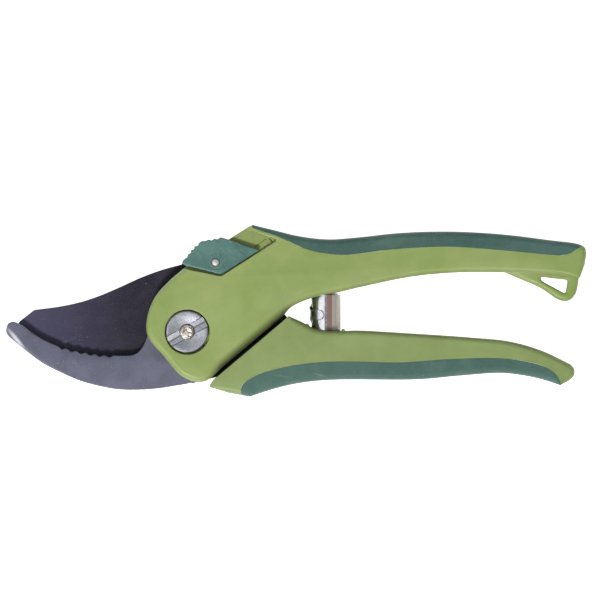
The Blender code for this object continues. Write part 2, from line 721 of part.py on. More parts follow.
def volute_spring():
    """A strip coiled about the Y axis, its inner turns standing higher than its outer one."""
    bm = bmesh.new()
    steps = round(SPRING_TURNS * 30)
    start = math.radians(200)
    stations = []
    for i in range(steps + 1):
        fraction = i / steps
        angle = start - 2 * math.pi * SPRING_TURNS * fraction
        outer = spring_radius_at(fraction)
        low = SPRING_BOTTOM + SPRING_RISE * fraction
        corners = [(outer, low), (outer - SPRING_STRIP, low),
                   (outer - SPRING_STRIP, low + SPRING_WIDTH), (outer, low + SPRING_WIDTH)]
        stations.append([
            bm.verts.new((SPRING_X + r * math.cos(angle), y, MIDDLE + r * math.sin(angle)))
            for r, y in corners
        ])
    bm.faces.new(stations[0])
    bm.faces.new(stations[-1])
    for before, after in zip(stations, stations[1:]):
        for i in range(4):
            bm.faces.new((before[i - 1], before[i], after[i], after[i - 1]))
    return finished("volute_spring", bm)


# ---------------------------------------------------------------- assembly


def build():
    clear_scene()
    upper_core, upper_soft = upper_mouldings()
    lower_core, lower_soft = lower_mouldings()
    hook = hook_jaw()
    blade = cutting_blade()
    bolt, washer, nut = pivot_pieces()
    slider, pin = lock_pieces()
    spring = volute_spring()
    finishes = {
        "green_moulding": (GREEN, [upper_core, lower_core]),
        "soft_grip": (DARK_GREEN, [upper_soft, lower_soft]),
        "lock_plastic": (LOCK_GREEN, [slider]),
        "hook_steel": (GREY_STEEL, [hook]),
        "coated_blade": (COATED_STEEL, [blade]),
        "plated_steel": (ZINC, [bolt, washer, nut, pin, spring]),
    }
    for name, (finish, objects) in finishes.items():
        made = material(name, finish)
        for obj in objects:
            obj.data.materials.append(made)
    seat_at([upper_core, upper_soft, hook, bolt, washer, nut, spring], "upper_body", (0, 0, 0))
    seat_at([lower_core, lower_soft, blade], "lower_body", (0, 0, 0))
    seat_at([slider, pin], "lock_body", (*on_slide(*PIN_AT), HANDLE_THICKNESS))


build()
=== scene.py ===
import math

import bmesh
import bpy
import numpy as np
from mathutils import Matrix, Vector


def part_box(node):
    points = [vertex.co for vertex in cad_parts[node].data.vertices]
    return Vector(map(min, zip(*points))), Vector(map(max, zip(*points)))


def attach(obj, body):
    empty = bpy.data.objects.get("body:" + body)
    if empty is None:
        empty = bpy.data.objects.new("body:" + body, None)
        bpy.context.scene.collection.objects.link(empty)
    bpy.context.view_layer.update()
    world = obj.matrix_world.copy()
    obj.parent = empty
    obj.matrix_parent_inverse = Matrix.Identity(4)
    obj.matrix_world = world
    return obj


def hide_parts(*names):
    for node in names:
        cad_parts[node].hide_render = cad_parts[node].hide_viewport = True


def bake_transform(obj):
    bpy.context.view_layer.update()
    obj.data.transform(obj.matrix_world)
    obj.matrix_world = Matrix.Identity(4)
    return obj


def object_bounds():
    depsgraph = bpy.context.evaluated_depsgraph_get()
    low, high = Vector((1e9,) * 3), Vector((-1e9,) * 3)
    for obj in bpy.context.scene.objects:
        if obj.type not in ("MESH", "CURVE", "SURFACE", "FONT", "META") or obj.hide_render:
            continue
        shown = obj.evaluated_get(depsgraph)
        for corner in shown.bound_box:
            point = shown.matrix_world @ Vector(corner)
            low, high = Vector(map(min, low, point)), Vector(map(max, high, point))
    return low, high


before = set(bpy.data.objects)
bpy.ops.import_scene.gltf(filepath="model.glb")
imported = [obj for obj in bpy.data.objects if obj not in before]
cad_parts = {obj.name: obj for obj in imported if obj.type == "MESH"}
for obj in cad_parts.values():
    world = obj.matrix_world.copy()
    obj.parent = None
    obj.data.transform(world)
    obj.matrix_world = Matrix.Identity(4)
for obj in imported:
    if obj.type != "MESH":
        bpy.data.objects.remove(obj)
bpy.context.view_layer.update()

# ------------------------------------------------------------------ studio
# The shears lie on a backlit white table, seen from straight above through a long lens. One
# soft lamp leans in from the side of the lower handle, so that the hook throws a short
# shadow up the blade. Two wide lamps and a pale room fill the rest.
MM = 0.001
VIEW_CENTRE = (39.17 * MM, 12.82 * MM)
VIEW_WIDTH = 213.12 * MM
LENS = 1000.0
TABLE_GLOW = 0.93

for lamp in [o for o in bpy.data.objects if o.type in ("LIGHT", "CAMERA")]:
    bpy.data.objects.remove(lamp)


def link(name, data):
    """A scene object for a mesh, lamp or camera."""
    made = bpy.data.objects.new(name, data)
    bpy.context.scene.collection.objects.link(made)
    return made


camera = link("camera", bpy.data.cameras.new("camera"))
camera.data.lens = LENS
camera.data.clip_end = 10.0
distance = VIEW_WIDTH * LENS / camera.data.sensor_width
camera.location = (*VIEW_CENTRE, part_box("upper_handle")[1].z / 2 + distance)
bpy.context.scene.camera = camera
bpy.context.scene.view_settings.view_transform = "Standard"


def softbox(name, place, size, watts):
    """A square soft lamp that faces the middle of the view."""
    lamp = bpy.data.lights.new(name, "AREA")
    lamp.size = size
    lamp.energy = watts
    made = link(name, lamp)
    made.location = place
    aim = Vector((*VIEW_CENTRE, 0.0)) - made.location
    made.rotation_euler = aim.to_track_quat("-Z", "Y").to_euler()


softbox("key_lamp", (-0.31, -0.76, 1.22), 0.24, 16.0)
softbox("left_lamp", (-0.75, 0.10, 1.05), 1.30, 4.8)
softbox("right_lamp", (0.80, 0.15, 1.00), 1.30, 1.9)

world = bpy.data.worlds.new("pale_room")
world.use_nodes = True
world.node_tree.nodes["Background"].inputs["Color"].default_value = (0.93, 0.95, 1.0, 1.0)
world.node_tree.nodes["Background"].inputs["Strength"].default_value = 0.12
bpy.context.scene.world = world

table_mesh = bmesh.new()
bmesh.ops.create_grid(table_mesh, x_segments=1, y_segments=1, size=3.0)
bmesh.ops.translate(table_mesh, vec=(0, 0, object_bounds()[0].z - 0.05 * MM), verts=table_mesh.verts)
table = link("light_table", bpy.data.meshes.new("light_table"))
table_mesh.to_mesh(table.data)
table_mesh.free()
table_white = bpy.data.materials.new("table_white")
table_white.use_nodes = True
surface = table_white.node_tree.nodes["Principled BSDF"]
surface.inputs["Base Color"].default_value = (0.85, 0.86, 0.88, 1.0)
surface.inputs["Roughness"].default_value = 0.9
surface.inputs["Emission Color"].default_value = (1.0, 1.0, 1.0, 1.0)
surface.inputs["Emission Strength"].default_value = TABLE_GLOW
table.data.materials.append(table_white)

# ------------------------------------------------------------------ upper handle
# One injection-moulded handle of glass-filled nylon, pale green, with a satin spark-eroded
# skin. It carries the hook between its two cheeks, the pivot, the lock's recess on its neck
# and the spring's seat, and it ends in a hanging loop.
GRIP_START = 62.0
GRIP_LENGTH = 81.6
HANDLE_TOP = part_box("upper_handle")[1].z / MM
HANDLE_MIDDLE = HANDLE_TOP / 2
RIM_STEPS = 9
RIM = 2.1
CHEEK_RIM = 3.6
LIP = 0.35
PARTING = 0.05
FAR = 60.0

END_FACE_DISTANCE = 19.3
END_FACE_NORMAL = Vector((0.645, -0.764)).normalized()
END_FACE_ALONG = Vector((-END_FACE_NORMAL.y, END_FACE_NORMAL.x))
CHEEK_SETBACK = 1.3
SLIDE = Vector((0.843, 0.538)).normalized()
SLIDE_NORMAL = Vector((-SLIDE.y, SLIDE.x))
NECK_HEIGHT = 19.93
REAR_CHEEK = 5.0
SLOT_TOP = 12.4
SLOT_RADIUS = 26.0


def grip(fraction, y):
    """A point of a handle, at a fraction of the grip's length."""
    return (GRIP_START + fraction * GRIP_LENGTH, y)


def tail(back, y):
    """A point near the tail of the upper handle, a distance back from its end."""
    return (GRIP_START + GRIP_LENGTH - back, y)


def beside_end_face(along, distance):
    """A point a distance from the pivot across the lower handle's end face, and along it."""
    return tuple(END_FACE_NORMAL * distance + END_FACE_ALONG * along)


def on_slide(along, height):
    """A point in the lock's own directions, along its slide and out of the neck."""
    return tuple(SLIDE * along + SLIDE_NORMAL * height)


def arc(centre, radius, start, end, steps):
    """Points on an arc, with its angles in degrees."""
    angles = [math.radians(start + (end - start) * i / steps) for i in range(steps + 1)]
    return [(centre[0] + radius * math.cos(a), centre[1] + radius * math.sin(a)) for a in angles]


def ring(centre, radius, sides):
    """A whole circle's points."""
    return arc(centre, radius, 0, 360 - 360 / sides, sides - 1)


def between(first, last, start, end, t):
    """The point on the way from one to another that matches a time from start to end."""
    return first + (last - first) * ((t - start) / (end - start))


def blended(knots, times, t):
    """The point at a time on the smooth curve through four knots, each with its own time."""
    chords = [between(knots[i], knots[i + 1], times[i], times[i + 1], t) for i in range(3)]
    bends = [between(chords[i], chords[i + 1], times[i], times[i + 2], t) for i in range(2)]
    return tuple(between(*bends, times[1], times[2], t))


def curve(points, steps=8):
    """Points along a smooth curve through the points given, ends included."""
    knots = [Vector(p) for p in points]
    knots = [2 * knots[0] - knots[1], *knots, 2 * knots[-1] - knots[-2]]
    found = []
    for before, start, end, after in zip(knots, knots[1:], knots[2:], knots[3:]):
        times = [0.0]
        for a, b in ((before, start), (start, end), (end, after)):
            times.append(times[-1] + math.sqrt((b - a).length))
        for step in range(steps):
            t = times[1] + (times[2] - times[1]) * step / steps
            found.append(blended((before, start, end, after), times, t))
    return found + [tuple(knots[-2])]


def outline(*stretches):
    """One closed outline, counter-clockwise, from stretches that follow each other."""
    found = []
    for point in [p for stretch in stretches for p in stretch]:
        if not found or (Vector(point) - Vector(found[-1])).length > 0.03:
            found.append(tuple(point))
    if (Vector(found[0]) - Vector(found[-1])).length <= 0.03:
        found.pop()
    area = sum(a[0] * b[1] - b[0] * a[1] for a, b in zip(found, found[1:] + found[:1]))
    return found if area > 0 else found[::-1]


def evened(points, spacing=1.6):
    """A closed outline with its long straight runs divided, so that a rim can change along them."""
    found = []
    for a, b in zip(points, points[1:] + points[:1]):
        a, b = Vector(a), Vector(b)
        parts = max(1, round((b - a).length / spacing))
        found += [tuple(a.lerp(b, i / parts)) for i in range(parts)]
    return found


def softened(points, radius, corners, steps=5):
    """A closed outline with the corners nearest the places given rounded off."""
    found = []
    for i, point in enumerate(points):
        here = Vector(point)
        if not any((here - Vector(c)).length < 0.2 for c in corners):
            found.append(point)
            continue
        before, after = Vector(points[i - 1]), Vector(points[(i + 1) % len(points)])
        start = here + (before - here).normalized() * min(radius, (before - here).length * 0.45)
        end = here + (after - here).normalized() * min(radius, (after - here).length * 0.45)
        for step in range(steps + 1):
            t = step / steps
            found.append(tuple((1 - t) ** 2 * start + 2 * t * (1 - t) * here + t * t * end))
    return found


def moved_left(points, distance):
    """An open run of points moved to its left by a distance."""
    found = []
    for i, point in enumerate(points):
        before = Vector(points[max(i - 1, 0)])
        after = Vector(points[min(i + 1, len(points) - 1)])
        way = (after - before).normalized()
        found.append((point[0] - way.y * distance, point[1] + way.x * distance))
    return found


def leaning(points):
    """At each point of a closed outline, the way inwards, and how much it leans from the sides."""
    p = np.array(points)
    into = p - np.roll(p, 1, axis=0)
    into /= np.linalg.norm(into, axis=1)[:, None]
    out = np.roll(into, -1, axis=0)
    middle = np.stack([-(into[:, 1] + out[:, 1]), into[:, 0] + out[:, 0]], axis=1)
    middle /= np.linalg.norm(middle, axis=1)[:, None]
    return p, middle, np.maximum(middle[:, 1] * into[:, 0] - middle[:, 0] * into[:, 1], 0.5)


def inset(points, depths):
    """A closed outline drawn inwards by a depth at each point."""
    p, middle, lean = leaning(points)
    return p + middle * (np.broadcast_to(depths, len(p)) / lean)[:, None]


def room(points, most=4.0, steps=27):
    """How far each point of a closed outline can move inwards before it nears another side."""
    p, middle, _ = leaning(points)
    run = np.roll(p, -1, axis=0) - p
    found = np.zeros(len(p))
    free = np.ones(len(p), bool)
    for reach in np.linspace(most / steps, most, steps):
        gap = (p + middle * reach)[:, None, :] - p[None, :, :]
        along = np.clip((gap * run).sum(2) / (run * run).sum(1), 0, 1)
        free &= np.linalg.norm(gap - along[:, :, None] * run, axis=2).min(1) > 0.97 * reach
        found[free] = reach
    return found


def lofted(name, rings):
    """A solid in millimetres raised through rings of the same count, each an outline and its heights."""
    bm = bmesh.new()
    first, heights = rings[0]
    heights = np.broadcast_to(heights, len(first))
    face = bm.faces.new([bm.verts.new((x, y, z)) for (x, y), z in zip(first, heights)])
    for level, (points, heights) in enumerate(rings[1:]):
        heights = np.broadcast_to(heights, len(points))
        raised = bmesh.ops.extrude_face_region(bm, geom=[face])["geom"]
        if level:
            bmesh.ops.delete(bm, geom=[face], context="FACES_ONLY")
        face = next(g for g in raised if isinstance(g, bmesh.types.BMFace))
        for vertex, (x, y), z in zip(face.verts, points, heights):
            vertex.co = (x, y, z)
    return body(name, bm)


def body(name, bm):
    """An object, in metres, from a bmesh in millimetres."""
    bmesh.ops.remove_doubles(bm, verts=bm.verts, dist=0.01)
    bmesh.ops.dissolve_degenerate(bm, edges=bm.edges, dist=0.005)
    bmesh.ops.recalc_face_normals(bm, faces=bm.faces)
    bmesh.ops.scale(bm, vec=(MM, MM, MM), verts=bm.verts)
    mesh = bpy.data.meshes.new(name)
    bm.to_mesh(mesh)
    bm.free()
    return link(name, mesh)


def moulded(name, points, bottom, top, rim, steps=RIM_STEPS):
    """A solid on an outline whose rims are rounded by a radius, less where there is no room."""
    rim = np.minimum(rim, 0.93 * room(points))
    for _ in range(6):
        rim = np.minimum(rim, (np.roll(rim, 1) + rim + np.roll(rim, -1)) / 3)
    turns = [math.pi / 2 * i / steps for i in range(steps + 1)]
    low = [(inset(points, rim * (1 - math.sin(a))), bottom + rim * (1 - math.cos(a))) for a in turns]
    high = [(inset(points, rim * (1 - math.sin(a))), top - rim * (1 - math.cos(a))) for a in turns]
    return lofted(name, low + high[::-1])


def plain(name, points, bottom, top):
    """An outline stood up from one height to another, sharp all round."""
    return lofted(name, [(np.array(points), bottom), (np.array(points), top)])


def lipped(name, points, floor, top, lip, over=1.0, steps=4):
    """A cutter whose mouth flares by a lip, so that the edge it leaves at the top is rounded."""
    turns = [math.pi / 2 * i / steps for i in range(steps + 1)]
    rings = [(np.array(points), floor)]
    rings += [(inset(points, -lip * (1 - math.cos(a))), top - lip * (1 - math.sin(a))) for a in turns]
    return lofted(name, rings + [(inset(points, -lip), top + over)])


def joined(obj, tool, operation="DIFFERENCE"):
    """Cuts, adds or intersects a solid with another, which is used up."""
    change = obj.modifiers.new("solid", "BOOLEAN")
    change.operation = operation
    change.solver = "EXACT"
    change.object = tool
    graph = bpy.context.evaluated_depsgraph_get()
    mesh = bpy.data.meshes.new_from_object(obj.evaluated_get(graph))
    obj.modifiers.clear()
    obj.data = mesh
    bpy.data.objects.remove(tool)


def shaded(obj, angle=32):
    """Smooth shading over the rounded surfaces, and flat shading over the level ones."""
    mesh = obj.data
    bm = bmesh.new()
    bm.from_mesh(mesh)
    bmesh.ops.remove_doubles(bm, verts=bm.verts, dist=0.002 * MM)
    bmesh.ops.dissolve_degenerate(bm, edges=bm.edges, dist=0.001 * MM)
    bm.to_mesh(mesh)
    bm.free()
    mesh.shade_smooth()
    for face in mesh.polygons:
        face.use_smooth = abs(face.normal.z) < 0.99999
    mesh.set_sharp_from_angle(angle=math.radians(angle))


def placed(obj, material, node_body, slot, *replaced):
    """Gives a piece its finish, and says what it rides on and which solids it stands for."""
    obj.data.materials.clear()
    obj.data.materials.append(material)
    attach(obj, node_body)
    if replaced:
        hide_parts(*replaced)


class Wire:
    """A socket of a material's nodes. Sums on wires add Math nodes, and node() adds any other."""

    def __init__(self, tree, socket=None):
        self.tree = tree
        self.socket = socket

    def node(self, kind, settings=None, values=None, output=0):
        """The output of a new node, whose settings are made before its sockets are filled."""
        made = self.tree.nodes.new("ShaderNode" + kind)
        for key, value in (settings or {}).items():
            setattr(made, key, value)
        for key, value in (values or {}).items():
            if isinstance(value, Wire):
                self.tree.links.new(value.socket, made.inputs[key])
            else:
                made.inputs[key].default_value = value
        return Wire(self.tree, made.outputs[output])

    def math(self, operation, *values):
        return self.node("Math", {"operation": operation}, dict(enumerate(values)))

    def __add__(self, other):
        return self.math("ADD", self, other)

    def __sub__(self, other):
        return self.math("SUBTRACT", self, other)

    def __rsub__(self, other):
        return self.math("SUBTRACT", other, self)

    def __mul__(self, other):
        return self.math("MULTIPLY", self, other)

    __radd__ = __add__
    __rmul__ = __mul__

    def part(self, axis):
        """The X, Y or Z of this vector."""
        return self.node("SeparateXYZ", None, {"Vector": self}, output=axis)

    def length(self):
        """The length of this vector."""
        return self.node("VectorMath", {"operation": "LENGTH"}, {0: self}, output="Value")

    def ramp(self, low, high, start=0.0, end=1.0):
        """A smooth change from start to end as this wire goes from low to high."""
        values = {"Value": self, "From Min": low, "From Max": high, "To Min": start, "To Max": end}
        return self.node("MapRange", {"interpolation_type": "SMOOTHSTEP"}, values)

    def mix(self, first, second):
        """A colour between two others, with this wire as the share of the second."""
        return self.node("Mix", {"data_type": "RGBA"}, {0: self, 6: first, 7: second}, output=2)

    def noise(self, place, per_mm, detail=2.0, roughness=0.5, distortion=0.0):
        """Cloudy noise over a place, with so many patches to the millimetre."""
        values = {"Vector": place, "Scale": per_mm / MM, "Detail": detail,
                  "Roughness": roughness, "Distortion": distortion}
        return self.node("TexNoise", None, values)

    def place(self, centre=(0, 0, 0), turn=0.0, stretch=(1, 1, 1)):
        """Object coordinates about a centre in millimetres, turned about Z and then stretched."""
        at = self.node("TexCoord", output="Object")
        at = self.node("Mapping", None, {"Vector": at, "Location": [-c * MM for c in centre]})
        at = self.node("Mapping", None, {"Vector": at, "Rotation": (0, 0, -turn)})
        return self.node("VectorMath", {"operation": "MULTIPLY"}, {0: at, 1: stretch})

    def bump(self, strength, height_mm, over=None):
        """A bump from this wire as a height, on top of another bump if there is one."""
        values = {"Height": self, "Strength": strength, "Distance": height_mm * MM}
        if over is not None:
            values["Normal"] = over
        return self.node("Bump", None, values)


def tone(red, green, blue):
    """A linear colour from the eight-bit values that a colour card gives."""
    return (*[((c / 255 + 0.055) / 1.055) ** 2.4 for c in (red, green, blue)], 1.0)


def finish(name, metallic=0.0, **constants):
    """A new material, the start of its nodes, and a function that wires them to its surface."""
    made = bpy.data.materials.new(name)
    made.use_nodes = True
    shader = made.node_tree.nodes["Principled BSDF"]
    shader.inputs["Metallic"].default_value = metallic
    for socket, value in constants.items():
        shader.inputs[socket.replace("_", " ")].default_value = value

    def wire(**sockets):
        for socket, value in sockets.items():
            made.node_tree.links.new(value.socket, shader.inputs[socket.replace("_", " ")])

    return made, Wire(made.node_tree), wire


def rim_share(start):
    """How far a surface has turned away from level, from 0 on a flat face to 1 on a side."""
    upright = start.node("NewGeometry", output="Normal").part("Z")
    return 1.0 - start.math("ABSOLUTE", upright).ramp(0.20, 0.97)


def moulding_green(name, light, deep, grey, gap_shade_edge=None):
    """Pale green nylon: a faint cloudiness from its glass fibres, a fine satin skin, a painted grey
    reflection on the rims, a few dark specks and handling scratches. With a gap shade edge, the
    millimetres over which painted shade deepens towards the gap, it has that and a painted shade on the
    recess floor."""
    made, start, wire = finish(name, Specular_IOR_Level=0.42)
    here = start.place()
    cloud = start.noise(here, 0.030, detail=1.5).ramp(0.32, 0.68)
    mottle = start.noise(here, 0.20, detail=4.0, roughness=0.6).ramp(0.30, 0.72)
    colour = (cloud * 0.65 + mottle * 0.35).mix(deep, light)
    patina = start.noise(here, 0.055, detail=3.0, distortion=0.6).ramp(0.55, 0.80) * 0.45
    colour = patina.mix(colour, grey)
    speck = start.noise(here, 1.7, detail=1.0).ramp(0.735, 0.79) * 0.35
    colour = speck.mix(colour, tone(84, 92, 58))
    scratch = start.noise(start.place(turn=0.45, stretch=(0.06, 1.6, 1.0)), 1.1, detail=1.0)
    scratch = scratch.ramp(0.70, 0.76) * start.noise(here, 0.05).ramp(0.52, 0.62)
    colour = (scratch * 0.30).mix(colour, tone(196, 206, 160))
    # Painted reflection: the rims turn grey as the surface tilts away from level.
    colour = (rim_share(start) * (0.40 + mottle * 0.25)).mix(colour, tone(142, 140, 114))
    if gap_shade_edge:
        # Painted shade: the surface darkens towards the gap between the cheek and the lower handle's end
        # face.
        dot = {"operation": "DOT_PRODUCT"}
        depth = start.node("VectorMath", dot, {0: here, 1: (*END_FACE_NORMAL, 0.0)}, output="Value")
        along = start.node("VectorMath", dot, {0: here, 1: (*END_FACE_ALONG, 0.0)}, output="Value")
        gap_shade = depth.ramp(gap_shade_edge[0] * MM, gap_shade_edge[1] * MM) * along.ramp(-0.006, 0.002)
        gap_shade = gap_shade * (1.0 - along.ramp(0.030, 0.036)) * (0.70 + mottle * 0.20)
        colour = gap_shade.mix(colour, tone(38, 44, 22))
        upright = start.node("NewGeometry", output="Normal").part("Z")
        height = here.part("Z")
        # Painted shade on the lock's recess floor: level faces just below the rim are darkened.
        floor = height.ramp(0.0143, 0.0147) * (1.0 - height.ramp(0.0153, 0.0158)) * upright.ramp(0.80, 0.95)
        colour = (floor * (0.18 + mottle * 0.34)).mix(colour, tone(112, 120, 70))
    skin = start.noise(here, 4.2, detail=2.0, roughness=0.6)
    wave = start.noise(here, 0.16, detail=1.0)
    bump = skin.bump(0.30, 0.018)
    bump = wave.bump(0.35, 0.05, over=bump)
    bump = (scratch * -1.0).bump(0.25, 0.01, over=bump)
    rough = mottle.ramp(0.0, 1.0, 0.40, 0.50) + scratch * 0.12
    wire(Base_Color=colour, Roughness=rough, Normal=bump)
    return made


# The last pair gives the millimetres from the pivot over which painted shade deepens towards the gap.
upper_green = moulding_green(
    "upper_green", tone(158, 174, 106), tone(138, 160, 84), tone(150, 160, 112), (14.5, 18.1))

UPPER_BACK = curve([
    tail(0.0, 28.0), tail(0.5, 30.2), tail(2.9, 31.5), grip(0.84, 32.9), grip(0.63, 35.0),
    grip(0.40, 36.0), grip(0.18, 35.5), (61.3, 33.9), (50.9, 33.2), (40.6, 34.3),
    (29.8, 36.9), (23.5, 38.4),
])
NECK_CORNER = on_slide(39.2, NECK_HEIGHT)
HEAD = curve([
    on_slide(12.2, NECK_HEIGHT), (-6.8, 17.9), (-11.6, 12.4), (-14.3, 5.6), (-14.6, 0.0),
    (-12.9, -3.8), (-8.6, -8.6), (-5.3, -12.7), (-2.6, -15.5), (1.4, -17.6), (4.4, -18.2),
    (6.6, -17.9),
])
GAP_EDGE = [
    beside_end_face(-4.0, END_FACE_DISTANCE - 1.0),
    beside_end_face(2.0, END_FACE_DISTANCE - CHEEK_SETBACK),
    beside_end_face(10.0, END_FACE_DISTANCE - CHEEK_SETBACK),
]
UPPER_INSIDE = curve([
    beside_end_face(30.1, END_FACE_DISTANCE - CHEEK_SETBACK), (37.0, 8.5), (41.0, 10.7),
    (47.8, 12.9), (55.0, 14.3), grip(0.0, 15.9), grip(0.22, 19.6), grip(0.40, 21.1),
    grip(0.62, 21.3), grip(0.83, 20.5), tail(2.4, 19.4),
])
UPPER_GRIP_EDGE = curve([
    (23.5, 37.4), (32.2, 34.4), (44.0, 29.4), (50.9, 28.0), (57.8, 27.7), grip(0.12, 29.4),
    grip(0.37, 30.6), grip(0.54, 29.9), grip(0.71, 28.7), grip(0.84, 27.7), grip(0.91, 27.7),
    tail(1.9, 30.8), tail(-3.0, 34.0),
])
upper_outline = evened(softened(
    outline(UPPER_BACK, [NECK_CORNER], HEAD, GAP_EDGE, UPPER_INSIDE, [tail(0.6, 24.2)]),
    1.3, [NECK_CORNER],
))


def eased(value, low, high):
    """A smooth change from 0 to 1 as a value goes from low to high."""
    t = min(max((value - low) / (high - low), 0.0), 1.0)
    return t * t * (3 - 2 * t)


def upper_rim(point):
    """The rounding at a point of the upper handle, widest where its cheeks face the gap."""
    place = Vector(point)
    short = END_FACE_DISTANCE - CHEEK_SETBACK - place.dot(END_FACE_NORMAL)
    along = place.dot(END_FACE_ALONG)
    past = min(max((37.0 - along) / 9.0, 0.0), 1.0) * min(max((along + 1.0) / 8.0, 0.0), 1.0)
    share = eased(abs(short), 4.5, 0.0) * eased(past, 0.0, 1.0)
    return RIM + (CHEEK_RIM - RIM) * share


def grip_zone(edge, far_y, shift=0.0):
    """A block over the region of a handle that its grip fills, past an edge moved by a shift."""
    run = moved_left(edge, shift)
    region = outline(run, [(run[-1][0], far_y), (run[0][0], far_y)])
    return plain("zone", region, -1.0, HANDLE_TOP + 1.0)


upper_rims = [upper_rim(p) for p in upper_outline]
upper = moulded("upper_moulding", upper_outline, 0.0, HANDLE_TOP, upper_rims)
joined(upper, grip_zone(UPPER_GRIP_EDGE, FAR, -PARTING))

LOOP_HALF = 3.0
loop_line = outline(
    curve([tail(32.0, 22.6), tail(27.4, 20.4), tail(23.8, 18.9), tail(16.6, 15.7),
           tail(9.4, 11.2), tail(6.3, 11.1), tail(3.8, 13.5), tail(2.6, 19.4)]),
    [tail(2.8, 24.0), tail(30.0, 24.0)],
)
loop = moulded("loop", loop_line, HANDLE_MIDDLE - LOOP_HALF, HANDLE_MIDDLE + LOOP_HALF, 1.7)
HOLE_CORNERS = [tail(16.4, 19.7), tail(6.6, 18.6), tail(7.5, 13.7), tail(16.1, 18.3)]
hole_line = softened(outline(HOLE_CORNERS), 0.9, HOLE_CORNERS)
for side in (1, -1):
    hole = lipped("hole", hole_line, -0.5, LOOP_HALF, 0.9)
    hole.data.transform(Matrix.Translation((0, 0, HANDLE_MIDDLE * MM)) @ Matrix.Diagonal((1, 1, side, 1)))
    if side < 0:
        hole.data.flip_normals()
    joined(loop, hole)
joined(upper, loop, "UNION")

# The space between the cheeks, where the blade turns and the hook's root is held.
joined(upper, plain("slot", ring((0, 0), SLOT_RADIUS, 120), REAR_CHEEK, SLOT_TOP))

# A groove in the cheeks' edge takes the blade's shield, which closes the gap from behind.
BLADE_BOTTOM = 5.3
BLADE_TOP = 8.3
SHIELD_END = 30.8
SHIELD_REACH = 3.6
SHIELD_ROOT = 2.0
GROOVE_START = 10.0
POCKET_ROOM = 0.3
groove_end = SHIELD_END + POCKET_ROOM
groove_reach = SHIELD_REACH + POCKET_ROOM
shield_groove = [beside_end_face(along, END_FACE_DISTANCE - back) for along, back in (
    (GROOVE_START, groove_reach), (GROOVE_START, 0.0), (groove_end, 0.0), (groove_end, groove_reach),
)]
joined(upper, plain("shield_groove", shield_groove, BLADE_BOTTOM - POCKET_ROOM, BLADE_TOP + POCKET_ROOM))

# The nut's pocket, a little off centre as moulded, and the bolt's hexagon behind.
NUT_POCKET_RADIUS = 8.06
NUT_POCKET_FLOOR = SLOT_TOP + 1.1
POCKET_SHIFT = (0.12, -0.12)
pocket = ring(POCKET_SHIFT, NUT_POCKET_RADIUS, 96)
joined(upper, lipped("pocket", pocket, NUT_POCKET_FLOOR, HANDLE_TOP, LIP))
BOLT_HOLE_RADIUS = 4.1
joined(upper, plain("bolt_hole", ring((0, 0), BOLT_HOLE_RADIUS, 64), -1.0, HANDLE_TOP))
HEXAGON_RADIUS = 5.3 / math.cos(math.pi / 6)
hexagon = lipped("hexagon", ring((0, 0), HEXAGON_RADIUS, 6), -3.5, 0.0, 0.25)
hexagon.data.transform(Matrix.Scale(-1.0, 4, (0, 0, 1)))
hexagon.data.flip_normals()
joined(upper, hexagon)

# The hook's root lies in a pocket behind the slot.
JAW_START = -15.0
JAW_LENGTH = 50.1
HOOK_BOTTOM = 8.6
HOOK_TOP = 12.1
SERRATION_START = (0.633, -5.1)
SERRATION_END = (0.227, -8.6)
SERRATIONS = 6
SERRATION_DEPTH = 0.65
SERRATION_SAG = 0.75


def jaw(fraction, y):
    """A point of a jaw, at a fraction of the length in front of the cheeks."""
    return (JAW_START - fraction * JAW_LENGTH, y)


def serrated_edge(steps=12):
    """Shallow notches along the hook's gripping edge, on a line that sags between its ends."""
    found = []
    for i in range(SERRATIONS * steps):
        along = i / (SERRATIONS * steps)
        x, y = jaw(*[a + (b - a) * along for a, b in zip(SERRATION_START, SERRATION_END)])
        sag = SERRATION_SAG * 4 * along * (1 - along)
        bite = SERRATION_DEPTH * math.sin(math.pi * along * SERRATIONS) ** 2
        found.append((x, y - sag - bite))
    return found + [jaw(*SERRATION_END)]


HOOK_INNER = curve([
    jaw(1.0, 1.7), jaw(0.985, 3.0), jaw(0.95, 3.6), jaw(0.885, 2.2), jaw(0.80, -0.9),
    jaw(0.71, -3.5), jaw(*SERRATION_START),
])
HOOK_HEEL = curve([
    jaw(*SERRATION_END), jaw(0.15, -8.65), (-19.3, -8.3), (-17.1, -6.9), (-15.6, -4.7),
    (-14.3, -1.5), (-12.6, 4.0), (-9.0, 10.0), (-2.0, 15.0), (7.0, 17.2), (16.0, 18.6),
])
HOOK_OUTER = curve([
    (13.0, -9.0), (8.6, -14.0), (2.6, -18.0), (-4.2, -19.5), (-11.8, -20.6), jaw(0.09, -21.0),
    jaw(0.21, -20.7), jaw(0.34, -19.5), jaw(0.48, -17.5), jaw(0.62, -14.4), jaw(0.743, -11.2),
    jaw(0.848, -7.4), jaw(0.937, -3.8), jaw(0.990, -1.4), jaw(1.004, 0.2), jaw(1.0, 1.7),
])
HOOK_TANG = [(30.0, 23.0), (44.0, 23.6), (47.0, 21.5), (46.0, 17.5), (30.0, 11.0), (22.0, 1.0)]
hook_line = outline(HOOK_OUTER, HOOK_INNER, serrated_edge(), HOOK_HEEL, HOOK_TANG)
tang_line = outline([(20.0, 19.2)], HOOK_TANG)
joined(upper, plain("hook_pocket", inset(tang_line, -POCKET_ROOM), HOOK_BOTTOM - POCKET_ROOM, SLOT_TOP))

